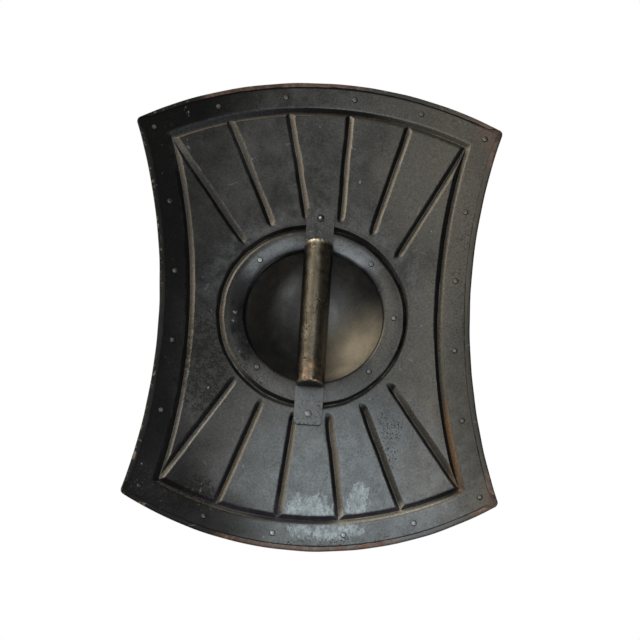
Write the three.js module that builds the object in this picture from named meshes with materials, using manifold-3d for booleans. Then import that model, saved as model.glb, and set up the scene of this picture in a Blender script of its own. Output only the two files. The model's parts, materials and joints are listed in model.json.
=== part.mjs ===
// A hand shield of dark sheet metal with drawn-in sides. The origin is the middle of the hand
// grip, +Z runs up the shield, and +Y points to its front, away from the bearer.
// All lengths are in millimetres. Sheet pieces are shaped flat, in the plane of X and Z with
// their thickness along Y, and are then rolled about an upright axis on the bearer's side.

import * as THREE from 'three';
import { mergeVertices } from 'three/addons/utils/BufferGeometryUtils.js';
import Module from 'manifold-3d';

const wasm = await Module();
wasm.setup();

// Outline, measured on the flat sheet from the middle of the grip
const cornerHalfWidth = 216;
const topCornerHeight = 228;
const bottomCornerDepth = 221;
const topBulge = 59;
const bottomBulge = 58;
const sideDraw = 36;
const cornerRadius = 6;
const leastCornerRadius = 3;
const rollRadius = 1370;

// Pressed sheet of the body
const sheetThickness = 1.5;
const pressDepth = 4.5;
const beadHalfWidth = 5.2;
const beadInset = 36.4;
const ribTipGap = 2;
const ribsPerFan = 6;
const ribSpread = THREE.MathUtils.degToRad(19.5);
const upperFanLean = THREE.MathUtils.degToRad(-4);

// Hand hole in the middle of the body, its edge bent forward into the boss
const handHoleRadius = 79;
const lipBendRadius = 5;

// Border frame over the front of the edge, its outer margin folded to the back as a hem
const frameThickness = 1;
const hemWidth = 6.2;
const hemRelief = 11;
const frameFold = 0.6;
const bandGap = 1;

// Boss over the hand hole
const bossThickness = 1.2;
const bossLipGap = 0.6;
const bossFlangeWidth = 14;
const bossDepth = 50;

// Hand grip across the hole: a flat strap with a half-round shell on it
const strapHalfWidth = 16.2;
const tabLength = 25;
const strapThickness = 2.4;
const strapCornerRadius = 5;
const gripHalfWidth = 16.8;
const gripHalfLength = 86;
const gripHeight = 25;
const gripWall = 2;
const gripEndRound = 3;
const gripLean = THREE.MathUtils.degToRad(2);

// Rivets
const borderRowInset = 18.2;
const rivetsPerEnd = 6;
const sideRivetShares = [0.2115, 0.404, 0.596, 0.7885];
const bossRivetAngles = [0, 45, 135, 180, 225, 315].map(THREE.MathUtils.degToRad);
const rivetShankRadius = 1.6;
const rivetHeadRadius = 3.6;
const rivetHeadHeight = 1.9;
const rivetTailRadius = 3.1;
const rivetTailHeight = 1.2;
const gripRivetScale = 1.3;
const domeShare = 0.75;

// Clearances: between pieces that touch, past a cut, and of a ridge rooted in its sheet
const seat = 0.3;
const overrun = 3;
const root = 0.3;
const weld = 1e-4;

// Facets
const foldsPerSide = 6;
const shoulderSteps = 2;
const sideArcSteps = 8;
const cornerSteps = 3;
const ringSteps = 32;
const bossArcSteps = 7;
const pressSteps = 4;
const pressPower = 1.3;
const ribEndSteps = 3;
const rivetSides = 8;
const gripSides = 16;

// Sizes across the sheet that follow from the ones above
const ridgeHalfWidth = beadHalfWidth + sheetThickness / 2;
const bossBaseRadius = handHoleRadius + lipBendRadius + bossLipGap;
const bossFlangeRadius = bossBaseRadius + bossFlangeWidth;
const bossRivetCircle = (bossBaseRadius + bossFlangeRadius) / 2;
const ringRadius = bossFlangeRadius + bandGap + root + ridgeHalfWidth;
const ribTipRadius = ringRadius + ridgeHalfWidth + ribTipGap;
const strapHalfLength = ringRadius + tabLength;
const gripRivetSpan = ringRadius + tabLength / 2;
const bandWidth = beadInset - ridgeHalfWidth - bandGap;
const waistHalfWidth = cornerHalfWidth - sideDraw;
const foldStep = (waistHalfWidth - beadInset) / foldsPerSide;

// Layers along Y, worked out from the grip's middle towards the front
const leanReach = strapHalfWidth + strapHalfLength * Math.sin(gripLean);
const strapSeat = seat + leanReach ** 2 / (2 * rollRadius) + seat;
const strapFront = (gripHeight + strapThickness) / 2;
const strapBack = strapFront - strapThickness;
const sheetBack = strapFront + strapSeat;
const sheetFront = sheetBack + sheetThickness;

// Rolling: the sheet bends at upright lines on both sides of its middle, and lies flat between
// them and beyond the last, with the lines on a cylinder whose axis is upright

const foldLines = Array.from({ length: 2 * foldsPerSide + 1 }, (_, i) =>
  (i - foldsPerSide) * foldStep);
const bends = [-cornerHalfWidth, ...foldLines, cornerHalfWidth];

function rollPoint(point) {
  const next = bends.findIndex((line, i) => i > 0 && (point.x < line || i === bends.length - 1));
  const [low, high] = [bends[next - 1], bends[next]];
  const [from, to] = [low, high].map((x) =>
    new THREE.Vector2(Math.sin(x / rollRadius), Math.cos(x / rollRadius)));
  const spoke = from.lerp(to, (point.x - low) / (high - low));
  spoke.multiplyScalar(rollRadius + point.y - sheetBack);
  return new THREE.Vector3(spoke.x, spoke.y + sheetBack - rollRadius, point.z);
}

// The setting of a piece made about the Y axis, its foot on the sheet's back at a flat place
function setting({ x, y }) {
  const foot = rollPoint(new THREE.Vector3(x, sheetBack, y));
  const turn = new THREE.Matrix4().makeRotationZ(-x / rollRadius);
  return turn.setPosition(foot);
}

// Solids from geometry, and back

function solid(geometry) {
  geometry.deleteAttribute('normal');
  geometry.deleteAttribute('uv');
  const merged = mergeVertices(geometry, weld);
  const corners = merged.index.array;
  const triVerts = [];
  for (let i = 0; i < corners.length; i += 3) {
    const [a, b, c] = corners.slice(i, i + 3);
    if (a !== b && b !== c && c !== a) triVerts.push(a, b, c);
  }
  const vertProperties = new Float32Array(merged.attributes.position.array);
  return new wasm.Manifold(new wasm.Mesh({
    numProp: 3,
    vertProperties,
    triVerts: new Uint32Array(triVerts),
  }));
}

// The solid of a shape on the flat sheet, once the sheet is rolled
function rolled(geometry) {
  const place = geometry.attributes.position;
  for (let i = 0; i < place.count; i += 1) {
    const point = rollPoint(new THREE.Vector3().fromBufferAttribute(place, i));
    place.setXYZ(i, point.x, point.y, point.z);
  }
  return solid(geometry);
}

function geometryOf(body) {
  const mesh = body.getMesh();
  const geometry = new THREE.BufferGeometry();
  geometry.setAttribute('position', new THREE.BufferAttribute(mesh.vertProperties, 3));
  geometry.setIndex(new THREE.BufferAttribute(mesh.triVerts, 1));
  return geometry;
}

function joined(bodies) {
  return bodies.reduce((sum, body) => sum.add(body));
}

// Geometry from loops of points, as many in each, every loop joined to the next. A ring's last
// loop meets its first. Otherwise the first loop is filled in and the last one has no width.
function lofted(loops, ring) {
  const count = loops[0].length;
  const rows = ring ? loops.length : loops.length - 1;
  const corners = [];
  for (let row = 0; row < rows; row += 1) {
    const next = (row + 1) % loops.length;
    for (let i = 0; i < count; i += 1) {
      const j = (i + 1) % count;
      const [a, b] = [row * count + i, row * count + j];
      const [c, d] = [next * count + j, next * count + i];
      corners.push(a, b, c, a, c, d);
    }
  }
  if (!ring) {
    for (let i = 1; i < count - 1; i += 1) corners.push(0, i + 1, i);
  }
  const geometry = new THREE.BufferGeometry().setFromPoints(loops.flat());
  geometry.setIndex(corners);
  return geometry;
}

// The flat sheet's outline: four arcs, joined by round corners

function endArc(bulge, cornerHeight, way) {
  const radius = (cornerHalfWidth ** 2 + bulge ** 2) / (2 * bulge);
  const centre = new THREE.Vector2(0, way * (cornerHeight + bulge - radius));
  return { centre, radius, insetWay: -1, way };
}

function sideArc(way) {
  const halfHeight = (topCornerHeight + bottomCornerDepth) / 2;
  const middle = (topCornerHeight - bottomCornerDepth) / 2;
  const radius = (halfHeight ** 2 + sideDraw ** 2) / (2 * sideDraw);
  const centre = new THREE.Vector2(way * (cornerHalfWidth - sideDraw + radius), middle);
  return { centre, radius, insetWay: 1 };
}

const topArc = endArc(topBulge, topCornerHeight, 1);
const bottomArc = endArc(bottomBulge, bottomCornerDepth, -1);
const leftArc = sideArc(-1);
const rightArc = sideArc(1);

function insetRadius(arc, inset) {
  return arc.radius + arc.insetWay * inset;
}

// The crossing of an end's arc and a side's arc, both moved in by an inset
function crossing(end, side, inset) {
  const [r, s] = [insetRadius(end, inset), insetRadius(side, inset)];
  const apart = side.centre.clone().sub(end.centre);
  const distance = apart.length();
  const along = (r ** 2 - s ** 2 + distance ** 2) / (2 * distance);
  const across = Math.sqrt(r ** 2 - along ** 2);
  const way = apart.divideScalar(distance);
  const square = new THREE.Vector2(-way.y, way.x);
  if (square.y * end.way < 0) square.negate();
  return end.centre.clone().addScaledVector(way, along).addScaledVector(square, across);
}

// A point of an arc, moved in by an inset, in line with another point from the arc's centre
function onArc(arc, inset, towards) {
  const way = towards.clone().sub(arc.centre).normalize();
  return arc.centre.clone().addScaledVector(way, insetRadius(arc, inset));
}

// The points of an arc from one point up to another, the short way, without the last
function sweep(centre, from, to, steps) {
  const start = from.clone().sub(centre);
  const end = to.clone().sub(centre);
  const turn = Math.atan2(start.cross(end), start.dot(end));
  return Array.from({ length: steps }, (_, i) =>
    from.clone().rotateAround(centre, turn * i / steps));
}

// The points of an end's arc on the fold lines, from left to right
function onFolds(end, inset) {
  const radius = insetRadius(end, inset);
  return foldLines.map((x) =>
    new THREE.Vector2(x, end.centre.y + end.way * Math.sqrt(radius ** 2 - x ** 2)));
}

// An end's arc between two corner points, in the order of its fold points
function endPoints(end, from, folds, to) {
  return [
    ...sweep(end.centre, from, folds[0], shoulderSteps),
    ...folds.slice(0, -1),
    ...sweep(end.centre, folds.at(-1), to, shoulderSteps),
  ];
}

// The closed outline at an inset, clockwise with +X to the right and +Z up
function outline(inset) {
  const round = Math.max(cornerRadius - inset, leastCornerRadius);
  const corner = (end, side) => {
    const centre = crossing(end, side, inset + round);
    return { centre, onEnd: onArc(end, inset, centre), onSide: onArc(side, inset, centre) };
  };
  const topLeft = corner(topArc, leftArc);
  const topRight = corner(topArc, rightArc);
  const bottomRight = corner(bottomArc, rightArc);
  const bottomLeft = corner(bottomArc, leftArc);
  const bottomFolds = onFolds(bottomArc, inset).reverse();
  return [
    ...endPoints(topArc, topLeft.onEnd, onFolds(topArc, inset), topRight.onEnd),
    ...sweep(topRight.centre, topRight.onEnd, topRight.onSide, cornerSteps),
    ...sweep(rightArc.centre, topRight.onSide, bottomRight.onSide, sideArcSteps),
    ...sweep(bottomRight.centre, bottomRight.onSide, bottomRight.onEnd, cornerSteps),
    ...endPoints(bottomArc, bottomRight.onEnd, bottomFolds, bottomLeft.onEnd),
    ...sweep(bottomLeft.centre, bottomLeft.onEnd, bottomLeft.onSide, cornerSteps),
    ...sweep(leftArc.centre, bottomLeft.onSide, topLeft.onSide, sideArcSteps),
    ...sweep(topLeft.centre, topLeft.onSide, topLeft.onEnd, cornerSteps),
  ];
}

function at(point, y) {
  return new THREE.Vector3(point.x, y, point.y);
}

// Points spread evenly along an end's arc at an inset, from the left corner to the right one
function alongEnd(end, inset, count) {
  const left = crossing(end, leftArc, inset);
  const right = crossing(end, rightArc, inset);
  return [...sweep(end.centre, left, right, count - 1), right];
}

// Points on a side's arc at an inset, at shares of its length from its top corner
function alongSide(side, inset, shares) {
  const top = crossing(topArc, side, inset);
  const bottom = crossing(bottomArc, side, inset);
  const start = top.clone().sub(side.centre);
  const end = bottom.sub(side.centre);
  const turn = Math.atan2(start.cross(end), start.dot(end));
  return shares.map((share) => top.clone().rotateAround(side.centre, turn * share));
}

// Basic shapes on the sheet

// The sheet within an outline, as strips that meet at the folds
function sheet(points, back, front) {
  return joined(bends.slice(1).map((high, i) => {
    const [low, slack] = [bends[i], foldStep * weld];
    const strip = points.filter(({ x }) => x > low - slack && x < high + slack);
    const geometry = new THREE.ExtrudeGeometry(new THREE.Shape(strip), {
      depth: front - back,
      bevelEnabled: false,
    });
    return rolled(geometry.rotateX(Math.PI / 2).translate(0, front, 0));
  }));
}

// A body turned about the boss's axis. Its profile runs with the outside going forward.
function turned(profile, sides) {
  return new THREE.LatheGeometry(profile.map(([radius, y]) => new THREE.Vector2(radius, y)), sides);
}

// A rivet's hole, long enough to pass through the sheet and what lies on its front
function drill(place) {
  const length = 2 * (sheetThickness + seat + bossThickness + overrun);
  const geometry = new THREE.CylinderGeometry(rivetHoleRadius, rivetHoleRadius, length, rivetSides);
  return solid(geometry.applyMatrix4(setting(place)));
}

// Pressed forms. Across a bead the height follows a power of a cosine, from foot to foot.

function pressHeight(share) {
  return Math.cos(share * Math.PI / 2) ** pressPower;
}

function pressSection({ halfWidth, foot, crest, base }) {
  const section = [[-halfWidth, base]];
  for (let i = 0; i <= pressSteps; i += 1) {
    const share = 2 * i / pressSteps - 1;
    section.push([share * halfWidth, foot + (crest - foot) * pressHeight(share)]);
  }
  section.push([halfWidth, base]);
  return section;
}

// The bead that follows the outline
function borderBead(press) {
  return rolled(lofted(pressSection(press).map(([offset, y]) =>
    outline(beadInset + offset).map((point) => at(point, y))), true));
}

// The round bead about the boss
function ringBead(press) {
  const profile = pressSection(press).map(([offset, y]) => [ringRadius - offset, y]);
  return rolled(turned([...profile, profile[0]], ringSteps));
}

// A straight rib with round ends, from one point to another
function rib([from, to], { halfWidth, foot, crest, base }) {
  const heading = to.clone().sub(from).normalize();
  const loop = (width, y) => [[to, 1], [from, -1]].flatMap(([end, way]) =>
    Array.from({ length: ribEndSteps + 1 }, (_, i) => {
      const arm = heading.clone().multiplyScalar(way * width);
      arm.rotateAround(new THREE.Vector2(), Math.PI * (1 / 2 - i / ribEndSteps));
      return at(end.clone().add(arm), y);
    }));
  const loops = [loop(halfWidth, base)];
  for (let i = 0; i <= pressSteps / 2; i += 1) {
    const share = 1 - 2 * i / pressSteps;
    loops.push(loop(share * halfWidth, foot + (crest - foot) * pressHeight(share)));
  }
  return rolled(lofted(loops, false));
}

// The two fans of ribs, each from the border bead to just outside the ring
function ribLines() {
  const fans = [
    { end: topArc, middle: Math.PI / 2 + upperFanLean, way: -1 },
    { end: bottomArc, middle: -Math.PI / 2, way: 1 },
  ];
  return fans.flatMap(({ end, middle, way }) =>
    alongEnd(end, beadInset, ribsPerFan).map((outer, i) => {
      const angle = middle + way * ribSpread * (i - (ribsPerFan - 1) / 2);
      const reach = ribTipRadius + beadHalfWidth;
      const inner = new THREE.Vector2(Math.cos(angle), Math.sin(angle)).multiplyScalar(reach);
      return [outer, inner];
    }));
}

// Where the rivets go, on the flat sheet

const borderRivetPlaces = [
  ...alongEnd(topArc, borderRowInset, rivetsPerEnd),
  ...alongSide(rightArc, borderRowInset, sideRivetShares),
  ...alongEnd(bottomArc, borderRowInset, rivetsPerEnd).reverse(),
  ...alongSide(leftArc, borderRowInset, sideRivetShares).reverse(),
];
const bossRivetPlaces = bossRivetAngles.map((angle) =>
  new THREE.Vector2(Math.cos(angle), Math.sin(angle)).multiplyScalar(bossRivetCircle));
const gripRivetPlaces = [1, -1].map((way) =>
  new THREE.Vector2(Math.sin(gripLean), Math.cos(gripLean)).multiplyScalar(way * gripRivetSpan));
const rivetHoleRadius = rivetShankRadius + seat;

// The pieces

// The body: one sheet, pressed forward along the border, the ring and the ribs
function mainPlate() {
  const lipMiddle = [handHoleRadius + lipBendRadius, sheetBack + lipBendRadius];
  const lipArc = (radius) => Array.from({ length: cornerSteps + 1 }, (_, i) => {
    const angle = Math.PI * (1 + i / cornerSteps / 2);
    return [lipMiddle[0] + radius * Math.cos(angle), lipMiddle[1] + radius * Math.sin(angle)];
  });
  const lip = [
    ...lipArc(lipBendRadius),
    [lipMiddle[0] + overrun, sheetBack],
    [lipMiddle[0] + overrun, sheetFront],
    ...lipArc(lipBendRadius - sheetThickness).reverse(),
  ];
  const hole = [
    [0, sheetBack - overrun],
    [lipMiddle[0], sheetBack - overrun],
    [lipMiddle[0], sheetFront + overrun],
    [0, sheetFront + overrun],
  ];
  const ridge = {
    halfWidth: ridgeHalfWidth,
    foot: sheetFront - root,
    crest: sheetFront + pressDepth,
    base: (sheetBack + sheetFront) / 2,
  };
  const groove = {
    halfWidth: beadHalfWidth,
    foot: sheetBack - root,
    crest: sheetBack + pressDepth,
    base: sheetBack - overrun,
  };
  const pressed = (press) => [
    borderBead(press),
    ringBead(press),
    ...ribLines().map((line) => rib(line, press)),
  ];
  const rivetPlaces = [...borderRivetPlaces, ...bossRivetPlaces, ...gripRivetPlaces];
  return joined([sheet(outline(frameThickness + seat), sheetBack, sheetFront), ...pressed(ridge)])
    .subtract(joined([
      rolled(turned(hole, ringSteps)),
      ...pressed(groove),
      ...rivetPlaces.map(drill),
    ]))
    .add(rolled(turned([...lip, lip[0]], ringSteps)));
}

// The border frame: a band on the front, a wall round the edge and a hem on the back
function rimFrame() {
  const hemBack = sheetBack - seat - frameThickness;
  const bandFront = sheetFront + seat + frameThickness;
  const section = [
    [hemWidth, hemBack],
    [frameFold, hemBack],
    [0, hemBack + frameFold],
    [0, bandFront - frameFold],
    [frameFold, bandFront],
    [bandWidth, bandFront],
    [bandWidth, bandFront - frameThickness],
    [frameThickness, bandFront - frameThickness],
    [frameThickness, hemBack + frameThickness],
    [hemWidth, hemBack + frameThickness],
  ];
  const loops = section.map(([inset, y]) => outline(inset).map((point) => at(point, y)));
  const reliefDepth = frameThickness + overrun;
  const reliefs = [topArc, bottomArc].flatMap((end) => [leftArc, rightArc].map((side) => {
    const corner = crossing(end, side, 0);
    const box = new THREE.BoxGeometry(2 * hemRelief, reliefDepth, 2 * hemRelief);
    return rolled(box.translate(corner.x, sheetBack - seat / 2 - reliefDepth / 2, corner.y));
  }));
  return rolled(lofted(loops, true)).subtract(joined([
    ...reliefs,
    ...borderRivetPlaces.map(drill),
  ]));
}

// The boss: a domed shell with a flange that lies on the front of the body
function boss() {
  const flangeBack = sheetFront + seat;
  const flangeFront = flangeBack + bossThickness;
  const roundRadius = (bossBaseRadius ** 2 + bossDepth ** 2) / (2 * bossDepth);
  const middle = flangeBack + bossDepth - roundRadius;
  const shell = (radius, from) => Array.from({ length: bossArcSteps + 1 }, (_, i) => {
    const start = Math.asin((from - middle) / radius);
    const angle = start + (Math.PI / 2 - start) * i / bossArcSteps;
    return [i === bossArcSteps ? 0 : radius * Math.cos(angle), middle + radius * Math.sin(angle)];
  });
  const profile = [
    ...shell(roundRadius, flangeBack).reverse(),
    [bossFlangeRadius, flangeBack],
    [bossFlangeRadius, flangeFront],
    ...shell(roundRadius + bossThickness, flangeFront),
  ];
  return rolled(turned(profile, ringSteps)).subtract(joined(bossRivetPlaces.map(drill)));
}

// The strap, laid along X and Z in its own group before it leans
function gripStrap() {
  const [w, h, r] = [strapHalfWidth, strapHalfLength, strapCornerRadius];
  const shape = new THREE.Shape();
  const corners = [[w, h, 0], [-w, h, 1], [-w, -h, 2], [w, -h, 3]];
  for (const [x, y, quarter] of corners) {
    const start = quarter * Math.PI / 2;
    const [cx, cy] = [x - Math.sign(x) * r, y - Math.sign(y) * r];
    shape.absarc(cx, cy, r, start, start + Math.PI / 2, false);
  }
  for (const way of [1, -1]) {
    shape.holes.push(new THREE.Path().absarc(0, way * gripRivetSpan, rivetHoleRadius, 0, 2 * Math.PI));
  }
  const geometry = new THREE.ExtrudeGeometry(shape, {
    depth: strapThickness,
    bevelEnabled: false,
    curveSegments: rivetSides / 2,
  });
  return solid(geometry.rotateX(Math.PI / 2).translate(0, strapFront, 0));
}

// An oval rod along Z with softened ends, its middle on the strap's face
function ovalRod(halfWidth, height, halfLength, round) {
  const oval = new THREE.Shape().absellipse(0, 0, halfWidth - round, height - round, 0, 2 * Math.PI);
  const geometry = new THREE.ExtrudeGeometry(oval, {
    depth: 2 * (halfLength - round),
    bevelThickness: round,
    bevelSize: round,
    bevelSegments: 2,
    curveSegments: gripSides,
  });
  return solid(geometry.translate(0, strapBack - seat, round - halfLength));
}

// The hand piece: half an oval shell, closed at its ends and open towards the strap
function gripShell() {
  const outer = ovalRod(gripHalfWidth, gripHeight - seat, gripHalfLength, gripEndRound);
  const inner = ovalRod(
    gripHalfWidth - gripWall,
    gripHeight - seat - gripWall,
    gripHalfLength - gripWall,
    gripEndRound - gripWall,
  );
  const reach = gripHeight + overrun;
  const open = new THREE.BoxGeometry(2 * reach, reach, 2 * (gripHalfLength + overrun));
  return outer.subtract(inner).subtract(solid(open.translate(0, strapBack - seat + reach / 2, 0)));
}

// A rivet through layers of a total thickness, measured from the rearmost face: a domed head
// in front and a peened tail behind
function rivet(thickness, scale) {
  const head = thickness + seat;
  const tail = -seat;
  const [headRadius, tailRadius] = [rivetHeadRadius * scale, rivetTailRadius * scale];
  const profile = [
    [0, tail - rivetTailHeight],
    [tailRadius * domeShare, tail - rivetTailHeight * domeShare],
    [tailRadius, tail],
    [rivetShankRadius, tail],
    [rivetShankRadius, head],
    [headRadius, head],
    [headRadius * domeShare, head + rivetHeadHeight * domeShare],
    [0, head + rivetHeadHeight],
  ];
  return solid(turned(profile, rivetSides));
}

// Materials

function metal(color, roughness, metalness) {
  return () => new THREE.MeshStandardMaterial({ color, roughness, metalness });
}

const darkIron = metal(0x3b3b39, 0.5, 0.9);
const wornRim = metal(0x4a3d34, 0.55, 0.85);
const bossIron = metal(0x6d6455, 0.45, 0.9);
const strapIron = metal(0x34322f, 0.55, 0.9);
const gripBronze = metal(0x8a8068, 0.5, 0.85);
const rivetIron = metal(0x57534b, 0.45, 0.9);

// Assembly

const shield = new THREE.Group();

function place(name, body, material, parent = shield) {
  const mesh = new THREE.Mesh(geometryOf(body), material());
  mesh.geometry.computeVertexNormals();
  mesh.name = name;
  parent.add(mesh);
  return mesh;
}

place('main_plate', mainPlate(), darkIron);
place('rim_frame', rimFrame(), wornRim);
place('boss', boss(), bossIron);

borderRivetPlaces.forEach((spot, i) => {
  const body = rivet(sheetThickness + seat + frameThickness, 1);
  const mesh = place(`border_rivet_${String(i + 1).padStart(2, '0')}`, body, rivetIron);
  mesh.applyMatrix4(setting(spot));
});
bossRivetPlaces.forEach((spot, i) => {
  const body = rivet(sheetThickness + seat + bossThickness, 1);
  place(`boss_rivet_${i + 1}`, body, rivetIron).applyMatrix4(setting(spot));
});

const grip = new THREE.Group();
grip.rotation.y = gripLean;
shield.add(grip);
place('grip_strap', gripStrap(), strapIron, grip);
place('grip_shell', gripShell(), gripBronze, grip);
[['upper', 1], ['lower', -1]].forEach(([end, way]) => {
  const mesh = place(`grip_rivet_${end}`, rivet(sheetFront - strapBack, gripRivetScale), rivetIron, grip);
  mesh.position.set(0, strapBack, way * gripRivetSpan);
});

export default shield;
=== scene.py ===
# %% [markdown]
# # A metal hand shield, seen from the bearer's side
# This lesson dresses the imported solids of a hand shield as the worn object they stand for. On
# the real one a single sheet of dark iron is pressed into beads and ribs, rolled, framed round
# its edge, closed in the middle by a domed boss, and carried by a grip across the hand hole.
# The solids give every size and place. The lesson adds what the camera asks for: soft press
# bends, a hem folded by hand, brazed ends, and metal that has been handled for a long time.

# %% Load the frame
import json
import math
import random

import bpy
import numpy as np
from mathutils import Matrix, Quaternion, Vector

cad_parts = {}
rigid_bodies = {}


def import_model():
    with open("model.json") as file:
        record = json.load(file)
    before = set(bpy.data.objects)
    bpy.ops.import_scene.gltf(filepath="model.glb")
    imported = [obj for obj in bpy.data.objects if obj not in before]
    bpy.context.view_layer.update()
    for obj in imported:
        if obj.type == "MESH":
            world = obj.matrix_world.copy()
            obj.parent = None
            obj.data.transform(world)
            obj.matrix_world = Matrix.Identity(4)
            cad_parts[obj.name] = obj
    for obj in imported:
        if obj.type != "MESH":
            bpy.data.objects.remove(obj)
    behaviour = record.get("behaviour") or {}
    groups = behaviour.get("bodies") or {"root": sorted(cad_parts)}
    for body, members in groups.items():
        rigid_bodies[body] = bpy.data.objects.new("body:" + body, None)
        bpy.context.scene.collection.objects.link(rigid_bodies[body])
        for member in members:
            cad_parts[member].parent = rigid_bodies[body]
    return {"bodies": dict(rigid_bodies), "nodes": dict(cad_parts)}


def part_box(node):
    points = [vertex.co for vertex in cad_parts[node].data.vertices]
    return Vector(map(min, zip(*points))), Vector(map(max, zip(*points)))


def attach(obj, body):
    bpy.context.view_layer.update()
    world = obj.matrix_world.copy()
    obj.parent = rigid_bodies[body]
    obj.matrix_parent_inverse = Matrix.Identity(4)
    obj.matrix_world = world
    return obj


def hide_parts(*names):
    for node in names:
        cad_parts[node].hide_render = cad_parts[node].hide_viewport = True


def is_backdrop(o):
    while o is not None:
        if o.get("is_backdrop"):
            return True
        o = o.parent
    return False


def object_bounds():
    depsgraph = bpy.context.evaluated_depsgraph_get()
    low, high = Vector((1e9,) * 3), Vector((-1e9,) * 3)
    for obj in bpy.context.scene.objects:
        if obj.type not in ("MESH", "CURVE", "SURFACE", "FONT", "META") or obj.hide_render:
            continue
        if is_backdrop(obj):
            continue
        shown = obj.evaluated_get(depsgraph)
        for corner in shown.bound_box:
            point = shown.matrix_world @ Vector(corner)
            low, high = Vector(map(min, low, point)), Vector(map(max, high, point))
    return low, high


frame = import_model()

body = sorted(frame["bodies"])[0]
cad_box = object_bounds()
print("body:", body, "nodes:", len(frame["nodes"]))

# %% [markdown]
# ## The camera
# The photograph looks up at the shield's back from about 17 degrees below and 4 metres away,
# with the shield turned a little clockwise in the picture. The place was found by matching
# rivets, corners, the ring and the hand hole. A long lens and an aim just beside the grip put
# them where the photograph has them, so the lens needs no shift.

# %% Camera
camera_distance = 4.027
camera_azimuth = math.radians(-1.667)
camera_elevation = math.radians(-16.86)
camera_roll = math.radians(1.619)
camera_focal = 196.57
aim_right = 0.00607
aim_up = -0.00891


def direction(azimuth, elevation):
    """The way from the grip to what stands at an azimuth and an elevation, in radians."""
    level = math.cos(elevation)
    return Vector((math.sin(azimuth) * level, -math.cos(azimuth) * level, math.sin(elevation)))


def looking(way):
    """How a camera is turned that looks along a way, with its roll."""
    return way.to_track_quat("-Z", "Y") @ Quaternion((0, 0, 1), camera_roll)


def new_object(name, data):
    """A new object in the scene, made of some data."""
    item = bpy.data.objects.new(name, data)
    bpy.context.scene.collection.objects.link(item)
    return item


towards_camera = direction(camera_azimuth, camera_elevation)
camera_place = towards_camera * camera_distance
target = looking(-towards_camera) @ Vector((aim_right, aim_up, 0))
camera_data = bpy.data.cameras.new("camera")
camera_data.lens = camera_focal
camera_data.sensor_width = 36
camera_data.clip_end = 100
camera = new_object("camera", camera_data)
camera.location = camera_place
camera.rotation_mode = "QUATERNION"
camera.rotation_quaternion = looking(target - camera_place)
bpy.context.scene.camera = camera
bpy.context.scene.view_settings.view_transform = "Standard"
print("camera at", [round(v, 3) for v in camera_place])

# %% [markdown]
# ## Flat sheet and rolled sheet
# The smith marks out the work on flat sheet and rolls it afterwards, so the shapes here are also
# worked out flat: X across, Z up, Y as depth. The outline is four arcs. Two bulge outwards at
# the ends and two are drawn in at the sides. The same sum that rolled the solids rolls the new
# pieces, but as a true cylinder instead of flat strips, so light slides smoothly across it.

# %% Sizes in metres
mm = 0.001
corner_half_width = 216 * mm
top_corner_height = 228 * mm
bottom_corner_depth = 221 * mm
top_bulge = 59 * mm
bottom_bulge = 58 * mm
side_draw = 36 * mm
roll_radius = 1370 * mm
sheet_back = 14.46 * mm
sheet_thickness = 1.5 * mm
seat = 0.3 * mm
bead_half_width = 5.2 * mm
bead_inset = 36.4 * mm
press_depth = 4.5 * mm
ring_radius = 105.85 * mm
rib_start_radius = 116 * mm
hole_radius = 79 * mm
lip_radius = 5 * mm


def rolled(points):
    """Flat points (x, y, z), one to a row, as they lie once the sheet is rolled."""
    angle = points[:, 0] / roll_radius
    reach = roll_radius + points[:, 1] - sheet_back
    return np.column_stack([
        np.sin(angle) * reach,
        np.cos(angle) * reach + sheet_back - roll_radius,
        points[:, 2],
    ])


# %% [markdown]
# The outline is walked clockwise from the top left corner. A place on it is a number from 0 to
# 4: its whole part says which of the four arcs, and the rest is the share of the way along.
# The same number works at any distance in from the edge, so the beads, the hem and the rows of
# rivets all follow the edge without any new measuring.

# %% Outline
def end_arc(bulge, corner_height, way):
    """The arc of the upper or lower end, which bulges outwards."""
    radius = (corner_half_width ** 2 + bulge ** 2) / (2 * bulge)
    centre = np.array([0, way * (corner_height + bulge - radius)])
    return {"centre": centre, "radius": radius, "inset_way": -1, "way": way}


def side_arc(way):
    """The arc of a side, which is drawn in."""
    half_height = (top_corner_height + bottom_corner_depth) / 2
    radius = (half_height ** 2 + side_draw ** 2) / (2 * side_draw)
    middle = (top_corner_height - bottom_corner_depth) / 2
    centre = np.array([way * (corner_half_width - side_draw + radius), middle])
    return {"centre": centre, "radius": radius, "inset_way": 1, "way": way}


top_arc = end_arc(top_bulge, top_corner_height, 1)
bottom_arc = end_arc(bottom_bulge, bottom_corner_depth, -1)
left_arc = side_arc(-1)
right_arc = side_arc(1)
edge_arcs = [top_arc, right_arc, bottom_arc, left_arc]
corner_arcs = [
    (top_arc, left_arc), (top_arc, right_arc), (bottom_arc, right_arc), (bottom_arc, left_arc)]


def inset_radius(arc, inset):
    """The radius of an arc that is moved in from the edge."""
    return arc["radius"] + arc["inset_way"] * inset


def crossing(end, side, inset):
    """The corner point where an end's arc meets a side's arc, both moved in by an inset."""
    r, s = inset_radius(end, inset), inset_radius(side, inset)
    apart = side["centre"] - end["centre"]
    distance = np.hypot(*apart)
    along = (r ** 2 - s ** 2 + distance ** 2) / (2 * distance)
    across = math.sqrt(r ** 2 - along ** 2)
    way = apart / distance
    square = np.array([-way[1], way[0]])
    if square[1] * end["way"] < 0:
        square = -square
    return end["centre"] + way * along + square * across


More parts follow.
